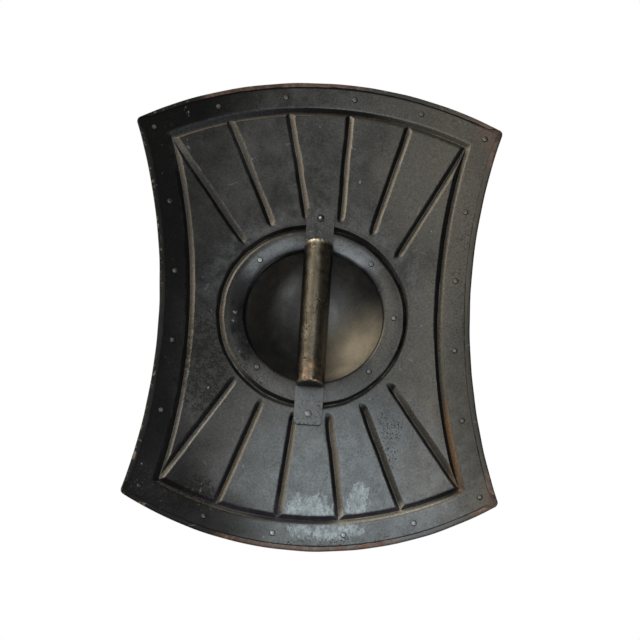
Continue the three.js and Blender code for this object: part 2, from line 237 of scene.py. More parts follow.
def outline(places, inset):
    """Points of the outline moved in by an inset, at places that run clockwise from 0 to 4."""
    places = np.asarray(places, float)
    corners = [crossing(end, side, inset) for end, side in corner_arcs]
    points = np.zeros((len(places), 2))
    for k, arc in enumerate(edge_arcs):
        on = np.floor(places).astype(int) % 4 == k
        start = corners[k] - arc["centre"]
        stop = corners[(k + 1) % 4] - arc["centre"]
        sweep = math.atan2(start[0] * stop[1] - start[1] * stop[0], start @ stop)
        angle = (places[on] % 1) * sweep
        points[on] = arc["centre"] + np.column_stack([
            np.cos(angle) * start[0] - np.sin(angle) * start[1],
            np.sin(angle) * start[0] + np.cos(angle) * start[1],
        ])
    return points


def rounded_outline(places, inset, corner_radius):
    """The same, with every corner rounded."""
    points = outline(places, inset)
    for end, side in corner_arcs:
        centre = crossing(end, side, inset + corner_radius)
        to_end = (centre - end["centre"]) / np.hypot(*(centre - end["centre"]))
        to_side = (side["centre"] - centre) / np.hypot(*(side["centre"] - centre))
        arm = points - centre
        shares = np.linalg.solve(np.column_stack([to_end, to_side]), arm.T)
        near = (shares > 0).all(axis=0)
        length = np.hypot(arm[near, 0], arm[near, 1])[:, None]
        points[near] = centre + arm[near] / length * corner_radius
    return points


print("corners", np.round(outline([0, 1, 2, 3], 0), 3).tolist())

# %% [markdown]
# ## The pressed sheet
# The body is one sheet of iron pressed forward into a bead along the border, a ring about the
# boss and two fans of six ribs, with the edge of the hand hole bent forward as a lip. A grid
# with as many points in each row is the right start, because it can be laid round the hole like
# a sleeve: its columns run from the hole to the edge and its rows go round. Columns are bunched
# where the ribs are, and run along them, so each press line is crisp with few points between.

# %% Ribs
ribs_per_fan = 6
rib_spread = math.radians(19.5)
upper_fan_lean = math.radians(-4)
rib_lines = []

# A hair keeps the last place along an end on the arc of that end.
hair = 1e-9
for end_place, middle in ((0, math.pi / 2 + upper_fan_lean), (2, -math.pi / 2)):
    outer_places = end_place + np.linspace(0, 1, ribs_per_fan)
    outer_ends = outline(np.minimum(outer_places, end_place + 1 - hair), bead_inset)
    for i, outer in enumerate(outer_ends):
        angle = middle - rib_spread * (i - (ribs_per_fan - 1) / 2)
        inner = np.array([math.cos(angle), math.sin(angle)]) * rib_start_radius
        rib_lines.append((inner, outer))
print("ribs:", len(rib_lines))

# %% Columns of the grid
field_inner_radius = ring_radius + bead_half_width
field_outer_inset = bead_inset + bead_half_width
offsets = np.linspace(-1.25, 1.25, 15) * bead_half_width
columns_between_ribs = 9
side_column_step = 0.022
trial_places = np.linspace(0, 4, 6001)[:-1]
trial_points = outline(trial_places, field_outer_inset)


def column_ends(inner, outer, offset):
    """Where a line beside a rib leaves the ring, as an angle, and meets the border, as a place."""
    heading = (outer - inner) / np.hypot(*(outer - inner))
    side = np.array([heading[1], -heading[0]])
    start = inner + side * offset
    along = start @ heading
    step = -along + math.sqrt(along ** 2 - start @ start + field_inner_radius ** 2)
    foot = start + heading * step
    away = trial_points - start
    across = away @ side
    ahead = (away @ heading > 0) & (np.sign(across) != np.sign(np.roll(across, -1)))
    k = np.flatnonzero(ahead)[0]
    after = across[(k + 1) % len(across)]
    share = across[k] / (across[k] - after)
    return math.atan2(foot[0], foot[1]), trial_places[k] + share * trial_places[1]


columns = np.array([column_ends(*line, offset) for line in rib_lines for offset in offsets])
columns[:, 0] = np.unwrap(columns[:, 0])
columns[:, 1] = np.unwrap(columns[:, 1], period=4)
groups = np.split(columns, len(rib_lines))
once_round = [2 * math.pi, 4]
laid = []
for group, following in zip(groups, [*groups[1:], groups[0] + once_round]):
    gap = following[0] - group[-1]
    on_side = gap[1] > 0.5
    between = round(gap[1] / side_column_step) if on_side else columns_between_ribs
    steps = np.linspace(0, 1, between + 2)[1:-1, None]
    laid += [group, group[-1] + gap * steps]
columns = np.vstack(laid)
print("columns:", len(columns), "steady:", bool((np.diff(columns, axis=0) > 0).all()))

# %% [markdown]
# Every point's depth comes from how far it lies from the nearest press line: full depth on the
# line, nothing past the half width, and a straight wall with soft bends between. Where a rib
# runs into the border bead the deeper of the two wins, as it does under a press tool. The
# valleys lie a little above and to the left of the middle of each line, so one wall is wider
# than the other. Ribs narrow and fade out before the ring, and ribs and ring wander by about
# half a millimetre. A slow waviness of a quarter of a millimetre stands for sheet worked by
# hand, and it is what breaks up the reflections.

# %% Depth of the pressing
def press_height(share):
    """Depth from 0 to 1, for a distance from a press line in half widths."""
    wall = 1 - np.clip(np.abs(share), 0, 1)
    bend = (1 - np.cos(math.pi * wall)) / 2
    return 0.72 * wall + 0.28 * bend


valley_shift = 0.9 * mm
up_left = np.array([-0.8, 0.6])


def right_share(x):
    """How much further the valleys are shifted on the right half."""
    return 1 + 0.7 * np.clip(x / (90 * mm), 0, 1)


rib_fade_length = 11 * mm


def rib_shares(points, inner, outer):
    """Distance from a rib in half widths, and its share of the full depth, which fades at its tip."""
    length = np.hypot(*(outer - inner))
    way = (outer - inner) / length
    aside = np.array([way[1], -way[0]]) * math.copysign(1, way[1])
    reach = np.clip((points - inner) @ way, 0, length - 2 * mm)
    shift = valley_shift * right_share((inner[0] + outer[0]) / 2)
    away = points - inner - reach[:, None] * way + shift * aside
    half_width = bead_half_width + shift * np.sign(away @ aside)
    rise = np.clip(reach / rib_fade_length, 0, 1)
    fade = rise * rise * (3 - 2 * rise)
    return np.hypot(*away.T) / (half_width * (0.6 + 0.4 * fade)), fade


def waviness(points, size, seed):
    """A slow unevenness from -1 to 1, made of waves in all directions."""
    draw = random.Random(seed)
    height = np.zeros(len(points))
    waves = 9
    for _ in range(waves):
        heading = draw.uniform(0, math.pi)
        pitch = size * draw.uniform(0.7, 1.6)
        start = draw.uniform(0, 2 * math.pi)
        way = points @ np.array([math.cos(heading), math.sin(heading)])
        height += np.sin(2 * math.pi * way / pitch + start)
    return height / (waves / 2)


# %% [markdown]
# Rows lie close where the sheet bends, as round the lip and beside each press line, and far apart
# where it is flat. Each is kept with its height and its distance from the border's bead.

# %% Rows of the grid
angles, places = columns.T
spokes = np.column_stack([np.sin(angles), np.cos(angles)])
feet = spokes * field_inner_radius
heads = outline(places, field_outer_inset)
lengths = np.hypot(*(heads - feet).T)
lip_centre = hole_radius + lip_radius
ring_start = ring_radius - bead_half_width
dish_depth = 0.5 * mm
no_bead = 9.0
rows = []


def add_row(points, height=0.0, bead=no_bead):
    """Keeps a row: its points, their height and their distance from the border's bead."""
    rows.append((points, height, bead))


def across_field(reach):
    """A row of the field, a reach away from the ring."""
    return feet + (heads - feet) * (reach / lengths)[:, None]


for bend in np.linspace(0, math.pi / 2, 7):
    radius = lip_centre - lip_radius * math.cos(bend)
    add_row(spokes * radius, lip_radius * (1 - math.sin(bend)))
for radius in np.linspace(lip_centre, ring_start, 8)[1:-1]:
    dish = math.sin(math.pi * (radius - lip_centre) / (ring_start - lip_centre))
    add_row(spokes * radius, -dish_depth * dish)
for radius in np.linspace(ring_start, field_inner_radius, 17):
    add_row(spokes * radius)
near = np.array([0.7, 1.4, 2.1, 2.8, 3.5, 4.3, 5.2, 6.2, 7.3, 8.5, 9.8, 11.3, 13, 16]) * mm
for step in near:
    add_row(across_field(step))
for share in np.linspace(0, 1, 17)[1:-1]:
    add_row(across_field(near[-1] + (lengths - near[-1] - 3 * mm) * share))
for step in (3 * mm, 1.5 * mm):
    add_row(across_field(lengths - step))

# %% Rows of the border
bead_foot = bead_inset - bead_half_width
ways = (heads - feet) / lengths[:, None]
bead_shift = valley_shift * (ways @ up_left * right_share(heads[:, 0]))
for inset in np.linspace(field_outer_inset, bead_foot, 17):
    corner_radius = 3 * mm if inset < field_outer_inset else 0.01 * mm
    off = inset - bead_inset + bead_shift
    share = np.abs(off) / (bead_half_width + bead_shift * np.sign(off))
    add_row(rounded_outline(places, inset, corner_radius), bead=share)
border_insets = [*np.linspace(bead_foot, 8.4 * mm, 10)[1:]]
border_insets += [*np.array([7.4, 6.4, 5.4, 3.4, 1.3]) * mm]
for inset in border_insets:
    add_row(rounded_outline(places, inset, max(6 * mm - inset, 3 * mm)))
print("rows:", len(rows), "points:", len(rows) * len(columns))

# %% [markdown]
# The ring was struck by hand. Its middle lies to the lower left of the hand hole's, it is a little
# larger than its solid, and it is narrower on the right. The depth of each point is kept for the
# finish as well, which lays painted light and shade and wear along the press lines by it.

# %% Press the grid
flat = np.vstack([points for points, _, _ in rows])
raised = np.repeat([height for _, height, _ in rows], len(columns))
bead_share = np.concatenate([np.zeros(len(columns)) + share for _, _, share in rows])
wander = 0.45 * mm * waviness(flat, 70 * mm, 15) + 0.2 * mm * waviness(flat, 26 * mm, 16)

ring_centre = np.array([-1.5, -0.85]) * mm
ring_grown = 1.7 * mm
ring_right = np.array([0.94, -0.34])
ring_arm = flat - ring_centre
ring_shift = valley_shift * np.clip(flat @ up_left / ring_radius, -1, 1)
on_right = np.clip(ring_arm @ ring_right / ring_radius, 0, 1)
ring_half_width = bead_half_width * (0.93 - 0.3 * on_right)
off = np.hypot(*ring_arm.T) - ring_radius - ring_grown + wander - ring_shift
from_ring = np.abs(off) / (ring_half_width - ring_shift * np.sign(off))
bead_share = np.minimum(bead_share, from_ring)

all_ribs = np.array([rib_shares(flat + wander[:, None], *line) for line in rib_lines])
shares, fades = np.moveaxis(all_ribs, 1, 0)
rib_share, rib_depth = shares.min(axis=0), (press_height(shares) * fades).max(axis=0)
press_share = np.minimum(bead_share, rib_share)
in_rib = (rib_share < bead_share) & (rib_share < 1.3)
nearest_fade = np.take_along_axis(fades, shares.argmin(axis=0)[None], axis=0)[0]
press_fade = np.where(in_rib, nearest_fade, 1)
depth = press_depth * np.maximum(press_height(bead_share), rib_depth)
uneven = 0.16 * mm * waviness(flat, 90 * mm, 3) + 0.07 * mm * waviness(flat, 34 * mm, 8)
pressed = rolled(np.column_stack([flat[:, 0], sheet_back + depth + raised + uneven, flat[:, 1]]))
print("depth up to", round(depth.max() / mm, 2), "mm")


# %% Lay the grid
def clear_selection():
    """Leaves edit mode and selects nothing, so that the next step starts clean."""
    if bpy.context.object and bpy.context.object.mode != "OBJECT":
        bpy.ops.object.mode_set(mode="OBJECT")
    bpy.ops.object.select_all(action="DESELECT")


def add_values(piece, name, values):
    """Keeps one number for each point of a piece, for its material to read."""
    attribute = piece.data.attributes.new(name, "FLOAT", "POINT")
    attribute.data.foreach_set("value", np.asarray(values, np.float32))


def points_of(piece, field="co"):
    """The places of a piece's points, one to a row, or another field of theirs."""
    places = np.empty(len(piece.data.vertices) * 3)
    piece.data.vertices.foreach_get(field, places)
    return places.reshape(-1, 3)


def move_points(piece, places):
    """Moves the points of a piece to new places."""
    piece.data.vertices.foreach_set("co", np.ascontiguousarray(places).ravel())
    piece.data.update()


def edit_all(step, **settings):
    """Runs one step of edit mode on the whole of the piece at hand."""
    bpy.ops.object.mode_set(mode="EDIT")
    bpy.ops.mesh.select_all(action="SELECT")
    step(**settings)
    bpy.ops.object.mode_set(mode="OBJECT")


def new_grid(name, across, upwards):
    """A grid of so many squares, and the column and row in which each of its points lies."""
    clear_selection()
    bpy.ops.mesh.primitive_grid_add(x_subdivisions=across, y_subdivisions=upwards, size=1)
    piece = bpy.context.object
    piece.name = name
    shares = points_of(piece)[:, :2] + 0.5
    return piece, *np.rint(shares * (across, upwards)).astype(int).T


def lay_grid(name, points, row_length, values):
    """A grid laid round as a sleeve, row by row, its two side edges sewn together."""
    piece, column, row = new_grid(name, row_length, len(points) // row_length - 1)
    order = row * row_length + column % row_length
    move_points(piece, points[order])
    for title, numbers in values.items():
        add_values(piece, title, numbers[order])
    edit_all(bpy.ops.mesh.remove_doubles, threshold=1e-6)
    return piece


# %% [markdown]
# The sheet is laid as a surface first. Its other side is made from it by its thickness.

# %% Both sides of the sheet
def lamp_facing(piece):
    """How far each point of a sheet faces up and to the left, towards the key lamp, for painted light
    and shade.
    """
    normals = points_of(piece, "normal")
    normals *= -np.sign(normals[:, 1:2].sum())
    upwards = np.interp(points_of(piece)[:, 2], (-0.15, 0.05), (0.8, 0.3))
    return normals[:, 2] * upwards - normals[:, 0] * 0.8


def mean_forward(piece):
    """How far the faces point to the front on average, from -1 to 1."""
    faces = piece.data.polygons
    return sum(face.normal.y * face.area for face in faces) / sum(face.area for face in faces)


def thicken(piece, thickness):
    """Gives a sheet its thickness, away from the bearer, with the first side facing the bearer."""
    if mean_forward(piece) > 0:
        edit_all(bpy.ops.mesh.flip_normals)
    wall = piece.modifiers.new("thickness", "SOLIDIFY")
    wall.thickness = thickness
    wall.offset = -1
    bpy.ops.object.modifier_apply(modifier=wall.name)
    bpy.ops.object.shade_smooth_by_angle(angle=math.radians(45))


def face_outwards(piece, angle):
    """Turns the faces of a closed piece outwards and smooths all but its sharp edges."""
    edit_all(bpy.ops.mesh.normals_make_consistent, inside=False)
    bpy.ops.object.shade_smooth_by_angle(angle=math.radians(angle))


far_inside = 60 * mm
field_rows = len(rows) - len(border_insets)
from_edge = np.repeat([far_inside] * field_rows + border_insets, len(columns))
main_sheet = lay_grid("pressed_sheet", pressed, len(columns), {
    "press_share": np.minimum(press_share, 3), "border": from_edge < far_inside,
    "from_edge": from_edge, "press_fade": press_fade})
# How each point faces the key lamp, kept for the painted light and shade of the walls.
add_values(main_sheet, "lamp_facing", lamp_facing(main_sheet))
thicken(main_sheet, sheet_thickness)
triangles = sum(len(face.vertices) - 2 for face in main_sheet.data.polygons)
print("pressed sheet:", triangles, "triangles")

# %% [markdown]
# ## The border frame
# A second sheet is folded round the edge: a broad band on the front, a rounded fold outside and
# a narrow hem hammered down on the back. The hem stops short of each corner, where the smith
# had to cut it to make the turn. The same kind of grid makes it. Its rows go round the outline,
# one for each point of the folded section, and the last is sewn to the first to close the tube.

# %% Places round the frame
frame_thickness = 1 * mm
band_width = 29.45 * mm
hem_back = sheet_back - seat - frame_thickness
band_front = sheet_back + sheet_thickness + seat + frame_thickness
fold_radius = 1.5 * mm
notch = 10.5 * mm
edge_lengths = [0.452, 0.462, 0.452, 0.462]
mean_edge_length = 0.457
side_hem_width = 6.6 * mm
end_hem_width = 5.6 * mm

frame_places = []
for k, length in enumerate(edge_lengths):
    close = np.arange(0, 16, 0.9) * mm / length
    middle = np.linspace(close[-1], 1 - close[-1], 150)[1:-1]
    frame_places.append(k + np.concatenate([close, middle, 1 - close[:0:-1]]))
frame_places = np.concatenate(frame_places)

share = frame_places % 1
from_corner = np.minimum(share, 1 - share) * mean_edge_length
on_side = np.floor(frame_places).astype(int) % 2 == 1
line = np.column_stack([frame_places * mean_edge_length, frame_places * 0])
hem_width = np.where(on_side, side_hem_width, end_hem_width)
hem_width += 0.35 * mm * waviness(line, 60 * mm, 5) + 0.25 * mm * waviness(line, 14 * mm, 6)
turned_over = np.clip((from_corner - notch) / (1.6 * mm), 0, 1)
cut_width = fold_radius + 0.3 * mm
hem_width = cut_width + (hem_width - cut_width) * turned_over
edge_wave = 0.22 * mm * (waviness(line, 45 * mm, 11) + 1) * np.clip(from_corner / (20 * mm), 0, 1)
print("places round the frame:", len(frame_places))

# %% Section of the frame
quarter = np.linspace(0, math.pi / 2, 6)
worn_edge = 0.3 * mm
section = [("hem", 0, hem_back + frame_thickness), ("hem", 0, hem_back + 0.35 * mm)]
section += [("hem", -worn_edge, hem_back), ("half", 0, hem_back - 0.12 * mm)]
section += [
    ("edge", fold_radius * (1 - math.sin(a)), hem_back + fold_radius * (1 - math.cos(a)))
    for a in quarter]
section += [
    ("edge", fold_radius * (1 - math.cos(a)), band_front - fold_radius * (1 - math.sin(a)))
    for a in quarter]
section += [("edge", band_width * part, band_front) for part in (0.3, 0.6)]
section += [("edge", band_width - worn_edge, band_front)]
section += [("edge", band_width, band_front - drop) for drop in (worn_edge, frame_thickness)]
section += [("edge", frame_thickness, band_front - frame_thickness)]
section += [("edge", frame_thickness, hem_back + frame_thickness)]


def section_inset(kind, inset):
    """How far in from the edge a point of the section lies, all the way round."""
    if kind == "hem":
        return hem_width + inset
    if kind == "half":
        return (hem_width + fold_radius) / 2
    return edge_wave * np.clip(1 - inset / (8 * mm), 0, 1) + inset


def follow_outline(places, insets, corner_radius):
    """One point for each place, each at an inset of its own, with rounded corners."""
    levels = np.linspace(insets.min(), insets.max() + 1e-6, 6)
    loops = np.array([
        rounded_outline(places, level, max(corner_radius - level, 3 * mm)) for level in levels])
    level_place = np.clip((insets - levels[0]) / (levels[1] - levels[0]), 0, 4.999)
    low = level_place.astype(int)
    above = (level_place - low)[:, None]
    each = np.arange(len(places))
    return loops[low, each] * (1 - above) + loops[low + 1, each] * above


frame_loops, fold_wear, hem_edge = [], [], []
for kind, inset, height in [*section, section[0]]:
    insets = section_inset(kind, inset)
    flat_loop = follow_outline(frame_places, insets, 6 * mm)
    lift = 0.12 * mm * waviness(line, 26 * mm, 7) * (kind != "edge") * turned_over
    frame_loops.append(rolled(np.column_stack([flat_loop[:, 0], height + lift, flat_loop[:, 1]])))
    fold_wear.append(np.clip((9 * mm - insets) / (6 * mm), 0, 1))
    hem_edge.append(np.full(len(insets), float(kind == "hem" and inset == 0)))

# %% Lay the frame round the edge
border_frame = lay_grid("border_frame", np.vstack(frame_loops), len(frame_places), {
    "fold_wear": np.concatenate(fold_wear), "hem_edge": np.concatenate(hem_edge)})
face_outwards(border_frame, 40)
print("border frame:", 2 * len(border_frame.data.polygons), "triangles")

# %% [markdown]
# ## The boss
# The dome over the hand hole was raised from a disc with a hammer, and its flange lies on the
# front of the body. Its inner face is what the camera sees through the hole. A circle is drawn
# out ring by ring, as a bowl is raised course by course, then thickened to the front.

# %% A turning helper
def turn(name, profile, sides):
    """A piece drawn out about the Y axis from a first circle. Its profile is radius and depth."""
    clear_selection()
    bpy.ops.mesh.primitive_circle_add(
        vertices=sides, radius=profile[0][0], location=(0, profile[0][1], 0),
        rotation=(math.pi / 2, 0, 0), enter_editmode=True)
    for (radius, depth), (next_radius, next_depth) in zip(profile, profile[1:]):
        bpy.ops.mesh.extrude_edges_move(TRANSFORM_OT_translate={"value": (0, next_depth - depth, 0)})
        size = next_radius / radius
        bpy.ops.transform.resize(value=(size, 1, size), center_override=(0, next_depth, 0))
    bpy.ops.mesh.merge(type="CENTER")
    bpy.ops.object.mode_set(mode="OBJECT")
    bpy.ops.object.transform_apply(location=True, rotation=True, scale=True)
    piece = bpy.context.object
    piece.name = name
    return piece


# %% [markdown]
# The flange lies flat and the bowl is part of a ball. Hammer work shows as two slow wavinesses in
# the bowl, and it fades out towards the flange.

# %% Raise the boss
boss_back = sheet_back + sheet_thickness + seat
boss_thickness = 1.2 * mm
boss_base = 84.6 * mm
boss_flange = 98.6 * mm
boss_depth = 50 * mm
bowl_radius = (boss_base ** 2 + boss_depth ** 2) / (2 * boss_depth)
bowl_centre = boss_back + boss_depth - bowl_radius
low_angle = math.asin((boss_back - bowl_centre) / bowl_radius)
bowl_angles = np.linspace(low_angle + 0.05, math.pi / 2 - 0.01, 40)
boss_profile = [(radius, boss_back) for radius in (boss_flange, 95 * mm, 90 * mm)]
boss_profile += [(86.6 * mm, boss_back + 0.1 * mm), (84.9 * mm, boss_back + 0.9 * mm)]
for a in bowl_angles:
    boss_profile.append((bowl_radius * math.cos(a), bowl_centre + bowl_radius * math.sin(a)))
boss_shell = turn("boss_shell", boss_profile, 144)
bowl = points_of(boss_shell)
flat_bowl = bowl[:, [0, 2]]
raised_part = np.clip((bowl[:, 1] - boss_back) / (8 * mm), 0, 1)
hammered = 0.22 * mm * waviness(flat_bowl, 30 * mm, 21)
hammered += 0.3 * mm * waviness(flat_bowl, 75 * mm, 22)
bowl[:, 1] += raised_part * (hammered - 0.5 * mm)
move_points(boss_shell, rolled(bowl))
thicken(boss_shell, boss_thickness)
print("boss:", len(boss_shell.data.polygons), "faces, bowl radius", round(bowl_radius / mm, 1), "mm")

# %% [markdown]
# ## The grip
# A flat strap is riveted across the hand hole, and a half-round hand piece is brazed on it. The
# whole grip leans two degrees. The strap is a grid with its ends rounded off, given thickness
# and a narrow bevel. The hand piece starts as a sphere, whose rings are set out along the
# strap as an oval rod with a flat back. Its ends are swollen and lumpy where the braze ran.

# %% The strap
strap_front = 13.7 * mm
strap_thickness = 2.4 * mm
strap_back = strap_front - strap_thickness
strap_half_width = 16.2 * mm
strap_half_length = 130.85 * mm
strap_corner = 5 * mm
crease_height = -98 * mm
lean = Matrix.Rotation(math.radians(2), 4, "Y")

straight_part = strap_half_length - strap_corner
corner_steps = strap_corner * (1 - np.sin(np.linspace(0, math.pi / 2, 9)))
strap_rows = np.unique(np.concatenate([
    np.linspace(-1, 1, 90) * straight_part,
    corner_steps - strap_half_length,
    strap_half_length - corner_steps,
    crease_height + np.linspace(-3, 3, 13) * mm,
]).round(6))
past = np.clip(np.abs(strap_rows) - straight_part, 0, strap_corner)
row_width = strap_half_width - strap_corner + np.sqrt(strap_corner ** 2 - past ** 2)
strips = 16
across = np.linspace(-1, 1, strips + 1)
strap, column, row = new_grid("strap", strips, len(strap_rows) - 1)
strap_flat = np.column_stack([across[column] * row_width[row], strap_rows[row]])
below_crease = strap_flat[:, 1] - crease_height + 0.04 * strap_flat[:, 0]
crease = 0.35 * mm / (1 + np.exp(below_crease / (0.45 * mm)))
hand_work = 0.1 * mm * waviness(strap_flat, 40 * mm, 31)
hand_work += 0.04 * mm * waviness(strap_flat, 12 * mm, 32)
strap_depth = strap_back + hand_work + crease
move_points(strap, np.column_stack([strap_flat[:, 0], strap_depth, strap_flat[:, 1]]))
strap.data.transform(lean)
thicken(strap, strap_thickness - 0.5 * mm)
edge = strap.modifiers.new("edge", "BEVEL")
edge.width = 0.35 * mm
edge.segments = 2
edge.angle_limit = math.radians(50)
bpy.ops.object.modifier_apply(modifier=edge.name)
bpy.ops.object.shade_smooth_by_angle(angle=math.radians(40))
print("strap:", len(strap.data.polygons), "faces")

# %% Rows of the hand piece
grip_half_width = 16.8 * mm
grip_half_length = 86 * mm
grip_height = 25 * mm - seat
grip_back = strap_back - seat
grip_round = 3 * mm
segments, rings = 96, 128

turns = np.linspace(0, math.pi / 2, 7)
end_steps = [(grip_half_width * part, 0) for part in (0.75, 0.5, 0.3)]
end_steps += [(grip_round * (1 - math.sin(a)), grip_round * (1 - math.cos(a))) for a in turns]
pole_inset = 0.999 * grip_half_width
end_steps = [(pole_inset, 0), *end_steps]
body_rows = rings + 1 - 2 * len(end_steps)
body_places = np.linspace(1, -1, body_rows + 2)[1:-1] * (grip_half_length - grip_round)
grip_rows = [(inset, grip_half_length - drop) for inset, drop in end_steps]
grip_rows += [(0, z) for z in body_places]
grip_rows += [(inset, drop - grip_half_length) for inset, drop in reversed(end_steps)]
grip_rows = np.array(grip_rows)
print("rows of the hand piece:", len(grip_rows))

# %% [markdown]
# Each ring of the sphere is laid out as an oval in front and a flat back. The skin then swells
# where the braze ran out: a thick lumpy lip above and a thin one below, with slow waves between.

# %% The hand piece
clear_selection()
bpy.ops.mesh.primitive_uv_sphere_add(segments=segments, ring_count=rings, radius=1)
hand_piece = bpy.context.object
hand_piece.name = "hand_piece"
ball = points_of(hand_piece)
ring = np.rint(np.arccos(np.clip(ball[:, 2], -1, 1)) / math.pi * rings).astype(int)
about = np.arctan2(ball[:, 1], ball[:, 0]) % (2 * math.pi)
inset, along_grip = grip_rows[ring].T
front_angle = 0.7 * 2 * math.pi
on_oval = about < front_angle
oval = about / front_angle * math.pi
flat_part = (about - front_angle) / (2 * math.pi - front_angle)
half_width = grip_half_width - inset
height = np.maximum(grip_height - inset, 0)
x = np.where(on_oval, half_width * np.cos(oval), half_width * (2 * flat_part - 1))
y = np.where(on_oval, -height * np.sin(oval), 0)
skin = np.column_stack([oval * 20 * mm, along_grip])
crest = np.where(on_oval, np.clip(np.sin(oval), 0, 1), 0)
swelling = crest ** 0.3 * (inset < 2 * mm)
outwards = np.column_stack([np.cos(oval), -np.sin(oval)]) * swelling[:, None]
top_lip = np.exp(-((grip_half_length - along_grip) / (4.2 * mm)) ** 4)
low_lip = np.exp(-((grip_half_length + along_grip) / (3.4 * mm)) ** 4)
lumps = waviness(skin, 5.5 * mm, 41)
swell = top_lip * (0.5 + 0.45 * lumps) + low_lip * (0.15 + 0.4 * lumps)
swell += 0.16 * waviness(skin, 32 * mm, 42) + 0.06 * waviness(skin, 9 * mm, 43) - 0.1
x += outwards[:, 0] * swell * mm
y += outwards[:, 1] * swell * mm
move_points(hand_piece, np.column_stack([x, grip_back + y, along_grip]))
# The lower end face gets neither braze nor crest, so the finish paints it in black shade.
add_values(hand_piece, "braze", np.maximum(top_lip, low_lip * 0.3 * (inset < 2.5 * mm)))
add_values(hand_piece, "crest", crest * ((inset < 2.5 * mm) | (along_grip > 0)))
hand_piece.data.transform(lean)
face_outwards(hand_piece, 50)
print("hand piece:", len(hand_piece.data.polygons), "faces")

# %% [markdown]
# ## The rivets
# Twenty rivets hold the frame, six the boss and two the grip. Each has a domed head in front
# and behind it a small hammered tail in a ring of painted shade. One is turned, and the rest are
# copies with a mesh of their own, each turned about its shank and dented in its own way.

# %% One rivet
shank_radius = 1.6 * mm
tail_radius_of_one = 3.4 * mm
head_radius_of_one = 3.6 * mm
head_height = 1.9 * mm


def rivet_profile(layers, size, dish):
    """Radius and depth from the tail's crown to the head's, for a rivet through some layers."""
    head, tail = layers + seat, -seat - dish
    tail_radius, head_radius = tail_radius_of_one * size, head_radius_of_one * size
    crown = tail_radius - 0.7 * mm
    dome = np.linspace(0.12, math.pi / 2, 7)
    profile = [(crown * math.sin(a), tail - (0.4 + 0.4 * math.cos(a)) * mm) for a in dome]
    profile += [(crown + 0.12 * mm, tail - 0.22 * mm), (crown + 0.25 * mm, tail - 0.12 * mm)]
    profile += [(tail_radius, tail - 0.1 * mm), (tail_radius * 0.98, tail)]
    profile += [(shank_radius, tail), (shank_radius, head)]
    profile += [(head_radius * 0.96, head), (head_radius, head + 0.2 * mm)]
    for a in dome[::-1][1:]:
        profile.append((head_radius * math.sin(a), head + head_height * math.cos(a) + 0.02 * mm))
    return profile


def make_rivet(name, layers, size, dish=0):
    """A rivet turned about its shank, with the rim of its tail marked for a painted ring of shade."""
    rivet = turn(name, rivet_profile(layers, size, dish), 28)
    bpy.ops.object.mode_set(mode="EDIT")
    bpy.ops.mesh.select_all(action="DESELECT")
    bpy.ops.mesh.select_non_manifold()
    bpy.ops.mesh.merge(type="CENTER")
    face_outwards(rivet, 50)
    shape = points_of(rivet)
    radius = np.hypot(shape[:, 0], shape[:, 2])
    skirt = (radius > tail_radius_of_one * size - 0.65 * mm) & (shape[:, 1] < 0)
    add_values(rivet, "skirt", skirt)
    return rivet


def set_rivet(pattern, name, place, seed):
    """A copy of a rivet, driven in at its place, with a little turn and dents of its own."""
    draw = random.Random(seed)
    rivet = new_object(name, pattern.data.copy())
    shape = points_of(rivet)
    ends = np.hypot(shape[:, 0], shape[:, 2]) > 0.5 * mm
    shape[:, 1] += ends * 0.12 * mm * waviness(shape[:, [0, 2]], 5 * mm, seed)
    for axis in (0, 2):
        shape[:, axis] += (shape[:, 1] < -seat) * draw.uniform(-0.35, 0.35) * mm
    move_points(rivet, shape)
    roll = draw.uniform(0, 6.28)
    rivet.data.transform(place @ Matrix.Rotation(roll, 4, "Y"))
    return rivet


def on_sheet(x, z):
    """The place of a rivet driven square through the rolled sheet."""
    foot = rolled(np.array([[x, sheet_back, z]]))[0]
    return Matrix.Translation(foot) @ Matrix.Rotation(-x / roll_radius, 4, "Z")


# %% Set every rivet
side_rivet_shares = [0.2115, 0.404, 0.596, 0.7885]
border_row_inset = 18.2 * mm
boss_row_radius = 91.6 * mm
grip_rivet_reach = 118.35 * mm
row_places = [*np.linspace(0, 1, 6), *[1 + s for s in side_rivet_shares]]
row_places += [*np.linspace(2, 3, 6), *[4 - s for s in reversed(side_rivet_shares)]]
for last_along_end in (5, 15):
    row_places[last_along_end] -= hair
rivets = {}
border_pattern = make_rivet("border_pattern", sheet_thickness + seat + frame_thickness, 1)
for i, (x, z) in enumerate(outline(row_places, border_row_inset)):
    node = f"border_rivet_{i + 1:02d}"
    rivets[node] = set_rivet(border_pattern, f"set_{node}", on_sheet(x, z), 100 + i)
boss_pattern = make_rivet("boss_pattern", sheet_thickness + seat + boss_thickness, 1, 0.5 * mm)
for i, degrees in enumerate((0, 45, 135, 180, 225, 315)):
    angle = math.radians(degrees)
    x, z = boss_row_radius * math.cos(angle), boss_row_radius * math.sin(angle)
    node = f"boss_rivet_{i + 1}"
    rivets[node] = set_rivet(boss_pattern, f"set_{node}", on_sheet(x, z), 200 + i)
grip_pattern = make_rivet("grip_pattern", sheet_back + sheet_thickness - strap_back, 1.3)
for end, way in (("upper", 1), ("lower", -1)):
    place = lean @ Matrix.Translation((0, strap_back, way * grip_rivet_reach))
    node = f"grip_rivet_{end}"
    rivets[node] = set_rivet(grip_pattern, f"set_{node}", place, 300 + way)
for pattern in (border_pattern, boss_pattern, grip_pattern):
    bpy.data.objects.remove(pattern)


def distance_from_solid(node, rivet):
    """How far a rivet's middle lies from the middle of its solid."""
    points = points_of(rivet)
    low, high = (np.array(corner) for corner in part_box(node))
    return float(np.linalg.norm((low + high - points.min(0) - points.max(0)) / 2))


farthest = max(distance_from_solid(*pair) for pair in rivets.items())
print("rivets:", len(rivets), "farthest from its solid:", round(farthest / mm, 2), "mm")

